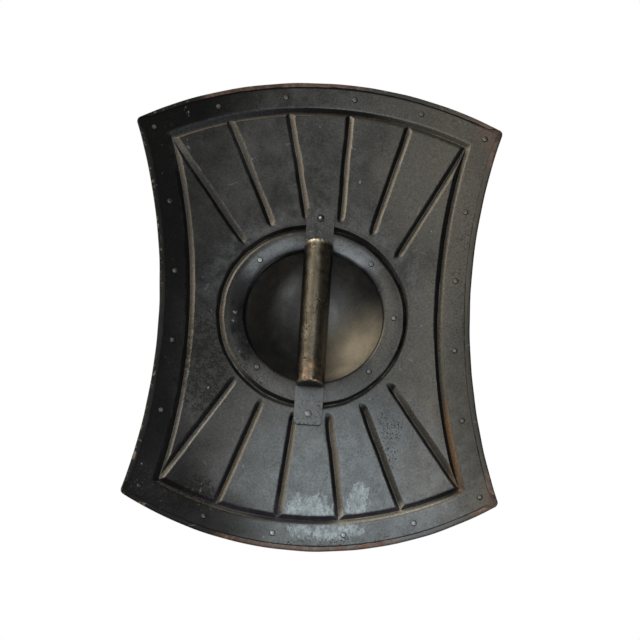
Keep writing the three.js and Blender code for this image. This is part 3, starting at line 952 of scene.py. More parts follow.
# %% [markdown]
# ## Finishes
# All the metal here has lived the same life: blackened, gripped, knocked and wiped for years.
# A finish is laid up as a painter would do it, one thin layer of colour over the other, each
# through a mask. Masks are sums on places, noise and the numbers kept on the pieces. So a mask is
# wrapped as a value that can be added or multiplied like a number, and each sum adds the node
# that works it out.

# %% Nodes
def add_node(tree, kind, inputs=None, **settings):
    """A new node with its settings. Its inputs take numbers, colours, sockets or values."""
    node = tree.nodes.new("ShaderNode" + kind)
    for name, value in settings.items():
        setattr(node, name, value)
    for key, value in (inputs or {}).items():
        value = getattr(value, "socket", value)
        if isinstance(value, bpy.types.NodeSocket):
            tree.links.new(value, node.inputs[key])
        else:
            node.inputs[key].default_value = value
    return node


class Value:
    """A number that nodes work out, different at each point of a piece."""

    def __init__(self, socket):
        self.socket = socket

    def __add__(self, other):
        return calc("ADD", self, other)

    def __sub__(self, other):
        return calc("SUBTRACT", self, other)

    def __rsub__(self, other):
        return calc("SUBTRACT", other, self)

    def __mul__(self, other):
        return calc("MULTIPLY", self, other)

    def __truediv__(self, other):
        return calc("DIVIDE", self, other)

    def __rtruediv__(self, other):
        return calc("DIVIDE", other, self)

    def __pow__(self, other):
        return calc("POWER", self, other)

    def __abs__(self):
        return calc("ABSOLUTE", self)

    def step(self, low, high):
        """0 below low, 1 above high and smooth between. With low above high it falls instead."""
        inputs = {"Value": self, "From Min": low, "From Max": high}
        node = add_node(self.socket.id_data, "MapRange", inputs, interpolation_type="SMOOTHSTEP")
        return Value(node.outputs["Result"])


def calc(operation, first, second=0.0):
    """What a Math node makes of two numbers, of which at least one is a value."""
    tree = (first if isinstance(first, Value) else second).socket.id_data
    return Value(add_node(tree, "Math", {0: first, 1: second}, operation=operation).outputs[0])


def most(first, *others):
    """The highest of some values."""
    for other in others:
        first = calc("MAXIMUM", first, other)
    return first


# %% Vectors, noise and colours
# A Mix node has sockets for every kind of data. These are the ones that colours use.
mix_share, mix_first, mix_second, mix_result = 0, 6, 7, 2


def split(vector):
    """The X, Y and Z of a vector."""
    return [Value(axis) for axis in add_node(vector.id_data, "SeparateXYZ", {0: vector}).outputs]


def change(vector, operation, inputs):
    """A vector changed by a Vector Math node."""
    node = add_node(vector.id_data, "VectorMath", {0: vector, **inputs}, operation=operation)
    return node.outputs[0]


def noise(vector, size, detail, roughness):
    """Noise with features of a size given in metres."""
    inputs = {"Vector": vector, "Scale": 1 / size, "Detail": detail, "Roughness": roughness}
    return Value(add_node(vector.id_data, "TexNoise", inputs).outputs["Fac"])


def blend(share, first, second):
    """The first colour with a share of the second over it. A plain colour is three numbers."""
    first, second = (c + (1,) if isinstance(c, tuple) else c for c in (first, second))
    inputs = {mix_share: share, mix_first: first, mix_second: second}
    return add_node(share.socket.id_data, "Mix", inputs, data_type="RGBA").outputs[mix_result]


# %% [markdown]
# ### Shared effects
# Three effects are made once as node groups and put into every finish with values of their own.
# One gives clouds, mottling and grain, and one gives pits in clusters. The third puts a short
# bowed scratch in some of the cells of a random pattern, each in a direction of its own. They
# only put out masks. The colours and the shader stay in each material.

# %% Making a group
def new_group(name, **numbers):
    """A node group that takes a vector and some numbers, each with its usual value."""
    tree = bpy.data.node_groups.new(name, "ShaderNodeTree")
    tree.interface.new_socket("Vector", in_out="INPUT", socket_type="NodeSocketVector")
    for title, usual in numbers.items():
        socket = tree.interface.new_socket(title, in_out="INPUT", socket_type="NodeSocketFloat")
        socket.default_value = usual
    given = tree.nodes.new("NodeGroupInput").outputs
    return (tree, given["Vector"], *(Value(given[title]) for title in numbers))


def put_out(tree, **masks):
    """Gives a node group its outputs, each with the mask it puts out."""
    for title in masks:
        tree.interface.new_socket(title, in_out="OUTPUT", socket_type="NodeSocketFloat")
    ends = tree.nodes.new("NodeGroupOutput").inputs
    for title, mask in masks.items():
        tree.links.new(mask.socket, ends[title])


# %% Clouds, mottling and grain
clouded, vector, size = new_group("clouded", Size=1.0)
scaled = change(vector, "SCALE", {"Scale": size})
warp = add_node(clouded, "TexNoise", {"Vector": scaled, "Scale": 14, "Detail": 2}).outputs["Color"]
bent = change(scaled, "ADD", {1: change(warp, "SCALE", {"Scale": 0.05})})
put_out(
    clouded,
    Clouds=noise(bent, 0.11, 3, 0.55).step(0.36, 0.66),
    Mottle=noise(bent, 0.017, 6, 0.62).step(0.36, 0.68),
    Grain=noise(scaled, 0.0022, 5, 0.7))


# %% Pits in clusters
def dots(vector, density, outside, inside):
    """Dots strewn at random, rising from 0 at one distance from their middles to 1 at another."""
    inputs = {"Vector": vector, "Scale": density, "Randomness": 1}
    cells = add_node(vector.id_data, "TexVoronoi", inputs).outputs
    return Value(cells["Distance"]).step(outside, inside)


pitted, vector, size, cover = new_group("pitted", Size=1.0, Cover=0.5)
scaled = change(vector, "SCALE", {"Scale": size})
cluster = (noise(scaled, 0.028, 4, 0.6) + (cover - 0.5)).step(0.5, 0.72)
spots = most(dots(scaled, 420, 0.34, 0.14), dots(scaled, 190, 0.26, 0.1))
put_out(pitted, Pits=spots * cluster)

# %% Short scratches
scratched, vector, cell, cover = new_group("scratched", Cell=0.02, Cover=0.5)
x, _, z = split(vector)
flat_place = add_node(scratched, "CombineXYZ", {0: x, 1: z}).outputs[0]
inputs = {"Vector": flat_place, "Scale": 1.0 / cell}
cells = add_node(scratched, "TexVoronoi", inputs, voronoi_dimensions="2D").outputs
turn_chance, cover_chance, length_chance = split(cells["Color"])
arm = change(flat_place, "SUBTRACT", {1: cells["Position"]})
inputs = {"Vector": arm, "Angle": turn_chance * (2 * math.pi)}
arm = add_node(scratched, "VectorRotate", inputs, rotation_type="Z_AXIS").outputs[0]
arm_x, arm_y, _ = split(arm)
bow = arm_y * arm_y * 12.0
thin = abs(arm_x + bow).step(0.00045, 0.0001)
short = (abs(arm_y) / (cell * (length_chance * 0.3 + 0.08))).step(1.0, 0.5)
put_out(scratched, Scratches=thin * short * calc("LESS_THAN", cover_chance, cover))
print("effects:", [group.name for group in bpy.data.node_groups])


# %% [markdown]
# ### What every metal shares
# Every finish starts from two colours that the clouds mix. It holds the places on the piece, its
# patina and the colour so far, and at the end it joins them all to the shader.

# %% A metal finish
class Finish:
    """A worn metal: its material, its patina, and a colour laid up in layers."""

    def __init__(self, name, patina_size, dark, light):
        self.material = bpy.data.materials.new(name)
        self.material.use_nodes = True
        self.tree = self.material.node_tree
        self.place = add_node(self.tree, "TexCoord").outputs["Object"]
        self.x, _, self.z = split(self.place)
        self.clouds, self.mottle, self.grain = self.effect(clouded, Size=patina_size)
        self.colour = blend(self.clouds, dark, light)

    def effect(self, group, **numbers):
        """The masks of a shared effect."""
        node = add_node(self.tree, "Group", {"Vector": self.place, **numbers}, node_tree=group)
        return [Value(mask) for mask in node.outputs]

    def pits(self, size, cover):
        """Clusters of pits. A higher cover makes more of them."""
        return self.effect(pitted, Size=size, Cover=cover)[0]

    def marks(self, cell, cover):
        """Short scratches. The cell says how far apart they lie and how long they get."""
        return self.effect(scratched, Cell=cell, Cover=cover)[0]

    def noise(self, size, detail, roughness):
        """Noise laid over the piece."""
        return noise(self.place, size, detail, roughness)

    def read(self, name):
        """The numbers kept on the points of the piece."""
        return Value(add_node(self.tree, "Attribute", attribute_name=name).outputs["Fac"])

    def from_middle(self):
        """How far a point lies from the middle of the hand hole, seen flat."""
        return calc("SQRT", self.x ** 2.0 + self.z ** 2.0)

    def near(self, x, z, reach_x, reach_z):
        """A soft patch: 1 at its middle, 0 past its reach to the side and upwards."""
        dx, dz = (self.x - x) / reach_x, (self.z - z) / reach_z
        return (dx * dx + dz * dz).step(1.0, 0.0)

    def wandering(self, value, reach):
        """A value shifted by the clouds, so that no zone ends on a straight line."""
        return value + (self.clouds - 0.5) * reach

    def tint(self, share, colour):
        """Lays a colour over the colour so far."""
        self.colour = blend(share, self.colour, colour)

    def speckle(self, strength):
        """Lays fine light and dark grain over the colour so far."""
        shade = self.grain * strength + (1 - 0.5 * strength)
        inputs = {mix_share: 1.0, mix_first: self.colour, mix_second: shade}
        node = add_node(self.tree, "Mix", inputs, data_type="RGBA", blend_type="MULTIPLY")
        self.colour = node.outputs[mix_result]

    def finish(self, roughness, metallic, height, depth):
        """Joins the colour, the roughness and the bumps to the shader."""
        shader = self.tree.nodes["Principled BSDF"].inputs
        self.tree.links.new(self.colour, shader["Base Color"])
        self.tree.links.new(roughness.socket, shader["Roughness"])
        shader["Metallic"].default_value = metallic
        shader["Specular IOR Level"].default_value = 0.3
        inputs = {"Height": height, "Distance": depth, "Strength": 1.0}
        self.tree.links.new(add_node(self.tree, "Bump", inputs).outputs[0], shader["Normal"])
        print("finish", self.material.name, "of", len(self.tree.nodes), "nodes")
        return self.material


# %% [markdown]
# ### Blackened sheet
# The body is black from its first heating and rubbed to grey where it was wiped. It is almost
# black on the left and browner on the right, partly patina and partly painted shade and light,
# and bluish and bright at the foot, partly wiped metal and partly a painted sheen. Old grime
# lies in branching lines low on the left, where the pits are thickest too. More pits sit by the
# ring, along the hem, at the right edge and low on the right. The zones of colour run on over
# the frame and the rivets.

# %% Zones of the body
# A darker patch is given by its x and z, its reach to the side and upwards, and its share.
dark_patches = (
    (0.20, -0.08, 0.07, 0.20, 0.45), (-0.13, -0.25, 0.10, 0.05, 0.80),
    (-0.165, -0.20, 0.06, 0.07, 0.60), (-0.11, -0.01, 0.06, 0.13, 0.48),
    (-0.150, -0.207, 0.045, 0.035, 0.55))


def body_zones(metal, border):
    """Dark on the left, most of all on the border, brown on the right and bluish at the foot, partly
    painted light and shade.
    """
    # Darker on the left and browner on the right: partly patina, partly painted shade and light.
    across = metal.wandering(metal.x, 0.03)
    metal.tint(across.step(-0.02, -0.165) * (border * 0.40 + 0.55), (0.0045, 0.0043, 0.0042))
    metal.tint(across.step(0.07, 0.17) * 0.65, (0.078, 0.068, 0.053))
    # Bluish at the foot, partly a painted sheen.
    metal.tint(metal.near(0.045, -0.215, 0.165, 0.15) * 0.75, (0.118, 0.125, 0.126))
    metal.tint(metal.near(0.128, -0.185, 0.050, 0.055) * 0.6, (0.092, 0.086, 0.077))
    for *patch, share in dark_patches:
        metal.tint(metal.near(*patch) * share, (0.012, 0.0115, 0.011))


# %% The sheet: pits, grime and field
sheet = Finish("blackened_sheet", 1.0, (0.034, 0.033, 0.031), (0.060, 0.058, 0.053))
low_left = sheet.near(-0.125, -0.06, 0.05, 0.11) * 1.4
by_ring = sheet.near(-0.07, -0.055, 0.04, 0.05)
by_hem = sheet.near(0.02, -0.270, 0.10, 0.014)
right_edge = sheet.near(0.185, 0.04, 0.03, 0.15)
worn_spot = sheet.near(0.088, -0.144, 0.022, 0.055)
pits = sheet.pits(1.0, most(low_left, by_ring, by_hem, right_edge, worn_spot) * 0.24 + 0.45)
grimy = most(sheet.near(-0.13, -0.06, 0.060, 0.11), sheet.near(-0.135, -0.218, 0.060, 0.040))
branches = abs(sheet.noise(0.011, 6, 0.7) - 0.5) + (1.0 - grimy) * 0.12
grime_lines = branches.step(0.045, 0.018)
marks = sheet.marks(0.026, 0.07) * sheet.x.step(-0.175, -0.13)

border = sheet.read("border")
sheet.tint(sheet.mottle * 0.45, (0.085, 0.082, 0.075))
body_zones(sheet, border)
sheet.tint(sheet.near(0.125, 0.165, 0.075, 0.10) * 0.6, (0.098, 0.089, 0.074))

# %% [markdown]
# Round the hand hole the colours hold painted light and shade. Above the hole the flat ring has a
# painted bluish highlight, on its right it is a dull brown, and on its left it stays black. A grey
# painted highlight lies outside the round bead too, on its upper half. The lip of the hole is
# painted in shade above, but for a short lit piece at its upper right, and has a painted
# highlight at its lower right.

# %% The sheet: round the hand hole
from_middle = sheet.from_middle()
# A painted grey highlight outside the ring, on its upper half.
ring_highlight = from_middle.step(0.150, 0.120) * from_middle.step(0.112, 0.117)
ring_highlight = ring_highlight * sheet.z.step(-0.05, 0.06) * sheet.mottle
sheet.tint(ring_highlight * 0.35, (0.110, 0.113, 0.113))

round_hole = from_middle.step(0.101, 0.096) * (sheet.mottle * 0.6 + 0.5)
# The first two patches, above the hole, are a painted bluish highlight.
for patch, colour in (
        ((-0.052, 0.072, 0.055, 0.048), (0.125, 0.132, 0.134)),
        ((0.045, 0.080, 0.060, 0.042), (0.138, 0.144, 0.146)),
        ((0.090, 0.0, 0.040, 0.090), (0.070, 0.065, 0.055)),
        ((-0.092, -0.020, 0.050, 0.075), (0.008, 0.008, 0.008))):
    sheet.tint(sheet.near(*patch) * round_hole, colour)

# The upper lip painted in shade, but for a short lit piece at its upper right.
upper_lip = from_middle.step(0.0895, 0.0815) * sheet.z.step(0.015, 0.040)
lit_part = sheet.near(0.0425, 0.0736, 0.026, 0.022)
sheet.tint(upper_lip * (0.9 - lit_part), (0.022, 0.022, 0.022))
# A painted highlight on the lip at its lower right.
right_lip = from_middle.step(0.0835, 0.0815) * sheet.x.step(0.055, 0.070)
sheet.tint(right_lip * sheet.z.step(0.010, -0.015) * 0.3, (0.250, 0.215, 0.165))

# %% [markdown]
# At the foot the black is wiped away in ragged strokes, and the bluish grey laid there is partly
# a painted sheen. Three patches are joined, torn by rough noise that is stretched upright, and
# broken up by fine streaks.

# %% The sheet: wiped foot with a painted sheen
# Wiped patches at the foot whose bluish grey is partly a painted sheen.
wiped_sheen = most(
    sheet.near(0.004, -0.233, 0.044, 0.032),
    sheet.near(0.056, -0.219, 0.021, 0.034),
    sheet.near(0.022, -0.250, 0.062, 0.022))
stretched = change(sheet.place, "MULTIPLY", {1: (1.0, 1.0, 0.6)})
ragged = (noise(stretched, 0.015, 8, 0.8) - 0.5) * 3.8
wiped_sheen = (wiped_sheen + ragged).step(0.50, 0.66)
streaks = noise(stretched, 0.0045, 4, 0.65).step(0.36, 0.60)
sheet.tint(wiped_sheen * (streaks * 0.62 + 0.25), (0.215, 0.238, 0.238))

# %% [markdown]
# Walls of the press lines that face the upper left, towards the key lamp, are painted a lit warm
# brown, and the others are painted in black shade. The numbers kept on the sheet's points say
# how far each lies from a press line and how it faces, so no wall is drawn by hand. On the right
# of the foot and in the right half of the field the walls are painted lit a little more than their
# facing says. On the right of the ring it is a little less, and on the left of the foot far less.

# %% The sheet: which walls are painted lit
press, side = sheet.read("press_share"), sheet.read("lamp_facing")
walls = press.step(1.0, 0.86) * sheet.read("press_fade").step(0.1, 0.75)
right_ring = from_middle.step(0.128, 0.122) * sheet.x.step(0.02, 0.08)
right_field = sheet.x.step(0.03, 0.11) * from_middle.step(0.125, 0.132)
foot_right = sheet.x.step(0.018, 0.042) * sheet.z.step(-0.205, -0.228)
foot_left = sheet.near(-0.02, -0.243, 0.065, 0.018)
more = most(foot_right * 0.28, right_field * 0.22) - right_ring * 0.25
# Painted light on walls that face the lamp, painted shade on the rest.
lit_wall = (side + more).step(-0.10, 0.34) * (1.0 - foot_left * 0.8)

# %% The sheet: painted light and shade of the walls
# The painted shade of walls facing away from the lamp.
top_left = sheet.near(-0.12, 0.215, 0.17, 0.06)
wall_shade = blend(top_left, (0.018, 0.017, 0.017), (0.052, 0.054, 0.056))
wall_shade = blend(sheet.z.step(-0.205, -0.228), wall_shade, (0.060, 0.053, 0.064))

far_left = sheet.near(-0.115, 0.14, 0.060, 0.12)
ring_zone = from_middle.step(0.1165, 0.1150)
on_ring = ring_zone * sheet.x.step(-0.076, -0.038)
first_rib = sheet.near(-0.130, -0.130, 0.060, 0.085)
low_right = sheet.x.step(0.035, 0.065) * sheet.z.step(-0.085, -0.115)
right_bead = (sheet.x + sheet.z * 0.21).step(0.119, 0.125)
warm_side = sheet.near(0.162, -0.150, 0.026, 0.075) * right_bead
# The painted light of walls facing the lamp, warmer or greyer by place.
lit_tan = blend(right_field * 0.7, (0.145, 0.127, 0.098), (0.078, 0.071, 0.058))
for share, colour in (
        (far_left * 0.85, (0.040, 0.041, 0.040)), (on_ring * 0.75, (0.050, 0.048, 0.044)),
        (first_rib * 0.8, (0.165, 0.158, 0.145)), (low_right * 0.7, (0.042, 0.038, 0.031)),
        (warm_side * 0.8, (0.200, 0.122, 0.066))):
    lit_tan = blend(share, lit_tan, colour)

# %% The sheet: painted highlights along the walls
# A painted highlight on the lit walls along the foot.
foot_rise = sheet.x ** 2.0 * 1.16
along_foot = (sheet.z - foot_rise).step(-0.226, -0.238)
foot_highlight = lit_wall * foot_right * along_foot
# Worn shoulders, and a painted highlight in each valley, on the lit walls.
worn_and_lit_line = most(press.step(0.22, 0.05), press.step(0.80, 0.93)) * lit_wall * sheet.mottle
worn_and_lit_line = worn_and_lit_line * sheet.x.step(0.16, -0.04)
# A painted glint inside the ring on its right.
inner_glint = press.step(0.36, 0.46) * press.step(0.66, 0.54) * right_ring * sheet.mottle
inner_glint = inner_glint * from_middle.step(ring_radius, ring_radius - 1 * mm)
# A painted glint in the ring's valley low down.
low_ring_glint = ring_zone * sheet.z.step(-0.035, -0.060) * press.step(0.32, 0.10)
# Walls facing the lamp take the painted light, the others the painted shade.
wall_colour = blend(lit_wall, wall_shade, lit_tan)
for share, colour in (
        (foot_highlight * 0.8, (0.42, 0.38, 0.31)), (worn_and_lit_line * 0.7, (0.24, 0.22, 0.18)),
        (inner_glint, (0.105, 0.105, 0.102)), (low_ring_glint * 0.8, (0.130, 0.130, 0.126))):
    wall_colour = blend(share, wall_colour, colour)
sheet.tint(walls * 0.93, wall_colour)

# %% [markdown]
# The shoulder of each press line is worn bright and carries a painted highlight along its
# rounded edge, and the ledge below the bead at the foot has a painted highlight. A dark line
# lies along the hem, and the corners on the right show reddish brown through the black.
# Last come the grain, a few light specks low on the left, the pits with the grime lines, and the
# scratches.

# %% The sheet: edges, pits and scratches
# Worn shoulders with a painted highlight along their rounded edges.
shoulder = press.step(0.9, 0.99) * press.step(1.12, 1.0) * sheet.mottle.step(0.4, 0.9)
sheet.tint(shoulder * 0.35, (0.16, 0.155, 0.145))
inset = sheet.read("from_edge")
# A painted highlight on the ledge below the bead at the foot.
ledge = inset.step(bead_foot - 3.2 * mm, bead_foot - 2.0 * mm) * border * foot_right
sheet.tint(ledge * 0.8, (0.135, 0.125, 0.105))
# A dark line along the edge of the hem.
sheet.tint(inset.step(7.8 * mm, 6.4 * mm) * 0.9, (0.008, 0.007, 0.006))
for z in (0.222, -0.218):
    corner = sheet.near(0.205, z, 0.03, 0.03)
    sheet.tint(corner * sheet.mottle * 0.7, (0.098, 0.070, 0.054))
sheet.speckle(2.0)
specks = sheet.near(-0.20, -0.235, 0.05, 0.06) * sheet.noise(0.0017, 2, 0.5).step(0.62, 0.74)
sheet.tint(specks * 0.4, (0.16, 0.16, 0.16))
pits = most(pits, grime_lines * 0.85)
sheet.tint(pits * 0.8, (0.012, 0.011, 0.010))
sheet.tint(marks * 0.3, (0.26, 0.25, 0.23))
sheet_metal = sheet.finish(
    roughness=sheet.grain * 0.16 + 0.34 + sheet.mottle * 0.10 + walls * 0.12, metallic=0.95,
    height=sheet.grain * 0.45 + sheet.mottle * 0.25 - pits, depth=0.12 * mm)

# %% [markdown]
# ### The frame
# The frame is the same iron, worn through to a reddish brown along its fold. It is rubbed most
# near the middles of both ends and at the right corners. The fold is chipped too, most of all on
# the left. The cut edge of the hem holds a black line.

# %% The frame's finish
rim = Finish("worn_rim", 1.4, (0.034, 0.032, 0.029), (0.070, 0.066, 0.060))
pits = rim.pits(1.0, 0.5)
fold = rim.read("fold_wear")
body_zones(rim, 0.6)
rubbed = most(
    rim.near(-0.045, 0.285, 0.13, 0.06), rim.near(0.205, 0.222, 0.05, 0.05),
    rim.near(0.0, -0.28, 0.15, 0.06), rim.near(0.205, -0.215, 0.04, 0.04))
worn = rim.wandering(rubbed, 0.3).step(0.2, 0.5) * rim.noise(0.03, 5, 0.65).step(0.26, 0.44)
worn = worn * fold.step(0.2, 0.6) * (rim.mottle * 0.6 + 0.35)
browns = rim.noise(0.006, 4, 0.6).step(0.45, 0.65)
rim.tint(worn, blend(browns, (0.118, 0.064, 0.047), (0.155, 0.115, 0.082)))
flaking = rim.noise(0.007, 5, 0.7) + rim.x.step(-0.16, -0.185) * 0.05
chips = fold.step(0.8, 1.0) * flaking.step(0.60, 0.68)
rim.tint(chips * 0.8, (0.17, 0.13, 0.09))
rim.tint(rim.read("hem_edge") * 0.95, (0.006, 0.005, 0.005))
rim.speckle(1.5)
rim.tint(rim.marks(0.016, 0.3) * 0.4, (0.25, 0.24, 0.22))
rim_metal = rim.finish(
    roughness=rim.grain * 0.2 + 0.38, metallic=0.9,
    height=rim.grain * 0.5 - (pits + chips), depth=0.15 * mm)

# %% [markdown]
# ### The boss and the strap
# The boss is browner and smoother than the sheet. Its bowl has a painted soft grey sheen near the
# middle with a painted glint in it, and a warm light brown painted highlight at its lower right.
# The strap is dark, more pitted and more scratched, and greyer towards its lower end.

# %% The boss's finish
bowl_iron = Finish("boss_iron", 1.2, (0.042, 0.040, 0.038), (0.074, 0.070, 0.064))
pits = bowl_iron.pits(1.0, 0.42)
# A painted sheen and a painted glint near the middle of the bowl.
sheen = bowl_iron.near(0.016, 0.014, 0.038, 0.048)
bowl_iron.tint(sheen * 0.9, (0.150, 0.152, 0.150))
glint = bowl_iron.near(0.019, 0.011, 0.013, 0.030)
bowl_iron.tint(glint * 0.8, (0.30, 0.305, 0.30))
# A painted highlight at the lower right of the bowl, brighter towards the rim.
rising = bowl_iron.from_middle().step(0.054, 0.075)
lit_tan = blend(rising, (0.220, 0.188, 0.134), (0.56, 0.475, 0.34))
bowl_iron.tint(bowl_iron.near(0.056, -0.036, 0.066, 0.070) * 0.95, lit_tan)
bowl_iron.tint(bowl_iron.mottle * 0.3, (0.12, 0.114, 0.102))
bowl_iron.speckle(1.2)
bowl_iron.tint(pits * 0.6, (0.015, 0.014, 0.012))
bowl_iron.tint(bowl_iron.marks(0.02, 0.15) * 0.3, (0.24, 0.23, 0.2))
boss_metal = bowl_iron.finish(
    roughness=bowl_iron.grain * 0.14 + 0.42, metallic=0.9,
    height=bowl_iron.grain * 0.4 - pits * 0.7, depth=0.1 * mm)

# %% The strap's finish
strap_iron = Finish("strap_iron", 2.0, (0.040, 0.039, 0.036), (0.066, 0.064, 0.058))
pits = strap_iron.pits(0.9, 0.6)
strap_iron.tint(strap_iron.z.step(0.02, -0.10) * 0.75, (0.125, 0.130, 0.127))
strap_iron.tint(strap_iron.mottle * 0.5, (0.10, 0.098, 0.09))
strap_iron.speckle(2.0)
strap_iron.tint(pits * 0.7, (0.014, 0.013, 0.012))
strap_iron.tint(strap_iron.marks(0.009, 0.6) * 0.4, (0.24, 0.23, 0.21))
strap_metal = strap_iron.finish(
    roughness=strap_iron.grain * 0.2 + 0.40, metallic=0.9,
    height=strap_iron.grain * 0.6 - pits, depth=0.3 * mm)

# %% [markdown]
# ### The hand piece and the rivets
# The hand piece is bronze, polished by the hand along its crest and black down its sides, with
# coppery, bumpy braze at its foot and a pale lip of it above, and its lower end face is painted
# in black shade. The rivets take the zones of the body, carry a painted sheen along the foot and
# on one boss rivet at the upper left, and stand in rings of painted black shade. The upper grip
# rivet is painted dark with a painted highlight spot, and the lower one grey.

# %% The hand piece's finish
bronze = Finish("grip_bronze", 2.4, (0.062, 0.052, 0.036), (0.102, 0.087, 0.060))
pits = bronze.pits(0.7, 0.6)
bronze.tint(bronze.mottle * 0.45, (0.125, 0.110, 0.082))
bronze.tint(bronze.noise(0.014, 5, 0.65).step(0.50, 0.64) * 0.7, (0.040, 0.029, 0.019))
copper_foot = bronze.z.step(-0.050, -0.078) * bronze.noise(0.006, 5, 0.7).step(0.44, 0.60)
bronze.tint(copper_foot * 0.8, (0.24, 0.145, 0.090))
# Black where the crest is low: unpolished sides, and painted black shade on the lower end face.
polish_and_end_shade = bronze.read("crest") + (bronze.mottle - 0.5) * 0.16
bronze.tint(polish_and_end_shade.step(0.66, 0.48) * 0.93, (0.014, 0.012, 0.010))
bronze.tint(bronze.read("braze") * 0.8, (0.50, 0.43, 0.31))
bronze.speckle(1.5)
bronze.tint(pits * 0.8, (0.025, 0.020, 0.014))
bronze.tint(bronze.marks(0.008, 0.2) * 0.4, (0.36, 0.32, 0.24))
grip_metal = bronze.finish(
    roughness=bronze.grain * 0.2 + 0.27, metallic=0.92,
    height=bronze.grain * 0.6 - pits, depth=0.4 * mm)

# %% The rivets' finish
rivet_iron = Finish("rivet_iron", 4.0, (0.060, 0.058, 0.054), (0.120, 0.118, 0.112))
pits = rivet_iron.pits(1.2, 0.55)
body_zones(rivet_iron, 0.6)
rivet_iron.tint(rivet_iron.mottle * 0.5, (0.14, 0.135, 0.125))
# A painted sheen along the foot and on the upper left boss rivet.
rivet_sheen = most(
    rivet_iron.near(0.04, -0.262, 0.17, 0.035), rivet_iron.near(-0.058, 0.066, 0.02, 0.02))
rivet_iron.tint(rivet_sheen * 0.8, (0.27, 0.28, 0.28))
# The upper grip rivet painted dark with a painted highlight spot, the lower one grey.
for x, z, reach, share, colour in (
        (0.0041, 0.1183, 0.009, 0.9, (0.020, 0.018, 0.016)),
        (0.0034, 0.1187, 0.0019, 0.8, (0.52, 0.49, 0.42)),
        (-0.0041, -0.1183, 0.009, 0.6, (0.150, 0.155, 0.152))):
    rivet_iron.tint(rivet_iron.near(x, z, reach, reach) * share, colour)
rivet_iron.tint(pits * 0.6, (0.015, 0.014, 0.012))
rivet_iron.tint(rivet_iron.marks(0.005, 0.4) * 0.5, (0.3, 0.29, 0.27))
# A ring of painted shade round each tail, weaker at the lower grip rivet.
less_shade_on_tab = rivet_iron.near(-0.004, -0.118, 0.012, 0.012)
rivet_iron.tint(rivet_iron.read("skirt") * (0.9 - less_shade_on_tab * 0.5), (0.006, 0.0055, 0.005))
rivet_metal = rivet_iron.finish(
    roughness=rivet_iron.grain * 0.2 + 0.30, metallic=0.9,
    height=rivet_iron.grain * 0.4 - pits, depth=0.1 * mm)

# %% [markdown]
# ## Putting the shield together
# Each new piece stands for its solids, which stay in the model for collision only. It rides on
# the one body there is and takes the finish it is given.

# %% Dress the solids
def dress(piece, node, material):
    """Gives a piece its finish and lets it stand for its solid."""
    piece.data.materials.clear()
    piece.data.materials.append(material)
    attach(piece, body)
    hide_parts(node)


dress(main_sheet, "main_plate", sheet_metal)
dress(border_frame, "rim_frame", rim_metal)
dress(boss_shell, "boss", boss_metal)
dress(strap, "grip_strap", strap_metal)
dress(hand_piece, "grip_shell", grip_metal)
for node, rivet in rivets.items():
    dress(rivet, node, rivet_metal)
print("pieces dressed:", 5 + len(rivets))

# %% [markdown]
# ## Studio
# The shield hangs in white air over a pale floor. One soft lamp stands high on the left, nearly
# in line with the sheet. So each wall that faces the upper left is lit and each wall that faces
# the lower right is black. Black cloths on the right and below, as photographers use for metal,
# keep white out of the dark walls. A small cool lamp on the camera's side gives the bluish sheen
# at the foot, and one low on the right the faint sheen in the bowl. A last one stands behind the
# shield, for views of its front.

# %% World
world = bpy.data.worlds.new("white_air")
bpy.context.scene.world = world
world.use_nodes = True
tree = world.node_tree
rays = add_node(tree, "LightPath").outputs
seen = most(*(Value(rays[f"Is {kind} Ray"]) for kind in ("Camera", "Glossy", "Transmission")))
sky = add_node(tree, "Background", {"Color": (0.97, 0.985, 1.0, 1), "Strength": 1.0}).outputs[0]
white = add_node(tree, "Background", {"Color": (1, 1, 1, 1), "Strength": 1.0}).outputs[0]
both = add_node(tree, "MixShader", {0: seen, 1: sky, 2: white}).outputs[0]
tree.links.new(both, tree.nodes["World Output"].inputs["Surface"])


# %% Floor
def plain_paint(name, level, specular):
    """A dull paint between black and white."""
    paint = bpy.data.materials.new(name)
    paint.use_nodes = True
    sockets = paint.node_tree.nodes["Principled BSDF"].inputs
    sockets["Base Color"].default_value = (level, level, level, 1)
    sockets["Roughness"].default_value = 0.9
    sockets["Specular IOR Level"].default_value = specular
    return paint


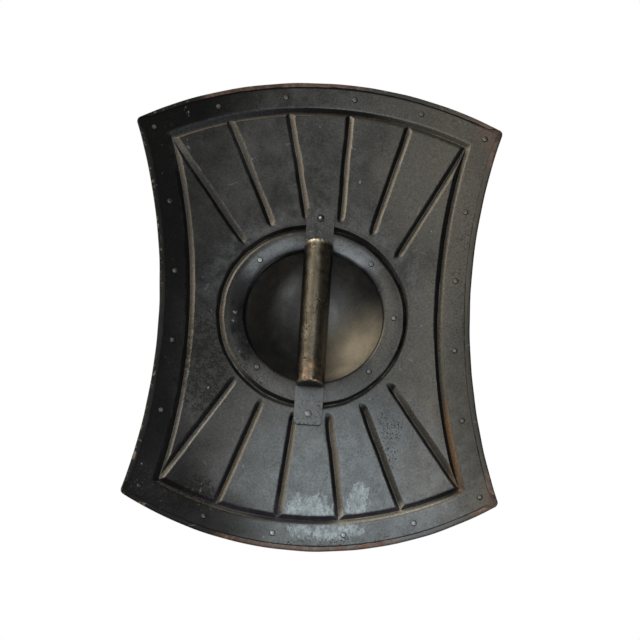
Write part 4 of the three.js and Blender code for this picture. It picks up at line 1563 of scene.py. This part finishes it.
clear_selection()
bpy.ops.mesh.primitive_plane_add(size=30, location=(0, 0, -1.5))
floor = bpy.context.object
floor.name = "floor"
floor.data.materials.append(plain_paint("floor_paint", 0.96, 0.1))
floor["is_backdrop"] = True

# %% Black cloths
clear_selection()
bpy.ops.mesh.primitive_cylinder_add(
    vertices=72, radius=1.5, depth=5.0, end_fill_type="NOTHING", location=(0, 0, 1.1))
side_cloth = bpy.context.object
side_cloth.name = "side_cloth"
cloth_from, cloth_to = math.radians(18), math.radians(150)
bpy.ops.object.mode_set(mode="EDIT")
bpy.ops.mesh.select_all(action="DESELECT")
bpy.ops.object.mode_set(mode="OBJECT")
for face in side_cloth.data.polygons:
    azimuth = math.atan2(face.center.x, -face.center.y)
    face.select = not cloth_from < azimuth < cloth_to
bpy.ops.object.mode_set(mode="EDIT")
bpy.ops.mesh.delete(type="FACE")
bpy.ops.object.mode_set(mode="OBJECT")
clear_selection()
bpy.ops.mesh.primitive_circle_add(
    vertices=48, radius=1.2, fill_type="NGON", location=(0, -0.9, -1.42))
low_cloth = bpy.context.object
low_cloth.name = "low_cloth"
for cloth in (side_cloth, low_cloth):
    cloth.data.materials.append(plain_paint(f"{cloth.name}_black", 0.004, 0.0))
    cloth.visible_camera = cloth.visible_diffuse = cloth.visible_shadow = False
    cloth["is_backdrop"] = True


# %% Lamps
def lamp(name, azimuth, elevation, distance, width, height, power, colour):
    """A flat lamp that looks at the grip, from an azimuth and an elevation in degrees."""
    data = bpy.data.lights.new(name, "AREA")
    data.shape = "RECTANGLE"
    data.size, data.size_y, data.energy, data.color = width, height, power, colour
    light = new_object(name, data)
    away = direction(math.radians(azimuth), math.radians(elevation))
    light.location = away * distance
    light.rotation_euler = (-away).to_track_quat("-Z", "Y").to_euler()
    light.visible_camera = False
    return light


lamp("key", -78, 42, 2.2, 1.1, 1.1, 40, (1.0, 0.95, 0.87))
lamp("cool_front", -7, 4, 1.2, 0.35, 0.25, 3.0, (0.82, 0.92, 1.0))
lamp("cool_low", 56, -31, 1.3, 0.3, 0.3, 5.0, (0.82, 0.90, 1.0))
lamp("front_fill", 150, 35, 2.5, 1.4, 1.4, 26, (1.0, 0.98, 0.95))

# %% [markdown]
# ## Last look at the size
# The dressed shield has to fill the same box as its solids.

# %% Size
visual_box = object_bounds()
for name, (low, high) in (("solids", cad_box), ("dressed", visual_box)):
    print(name, [round(v / mm, 1) for v in (*low, *high)])
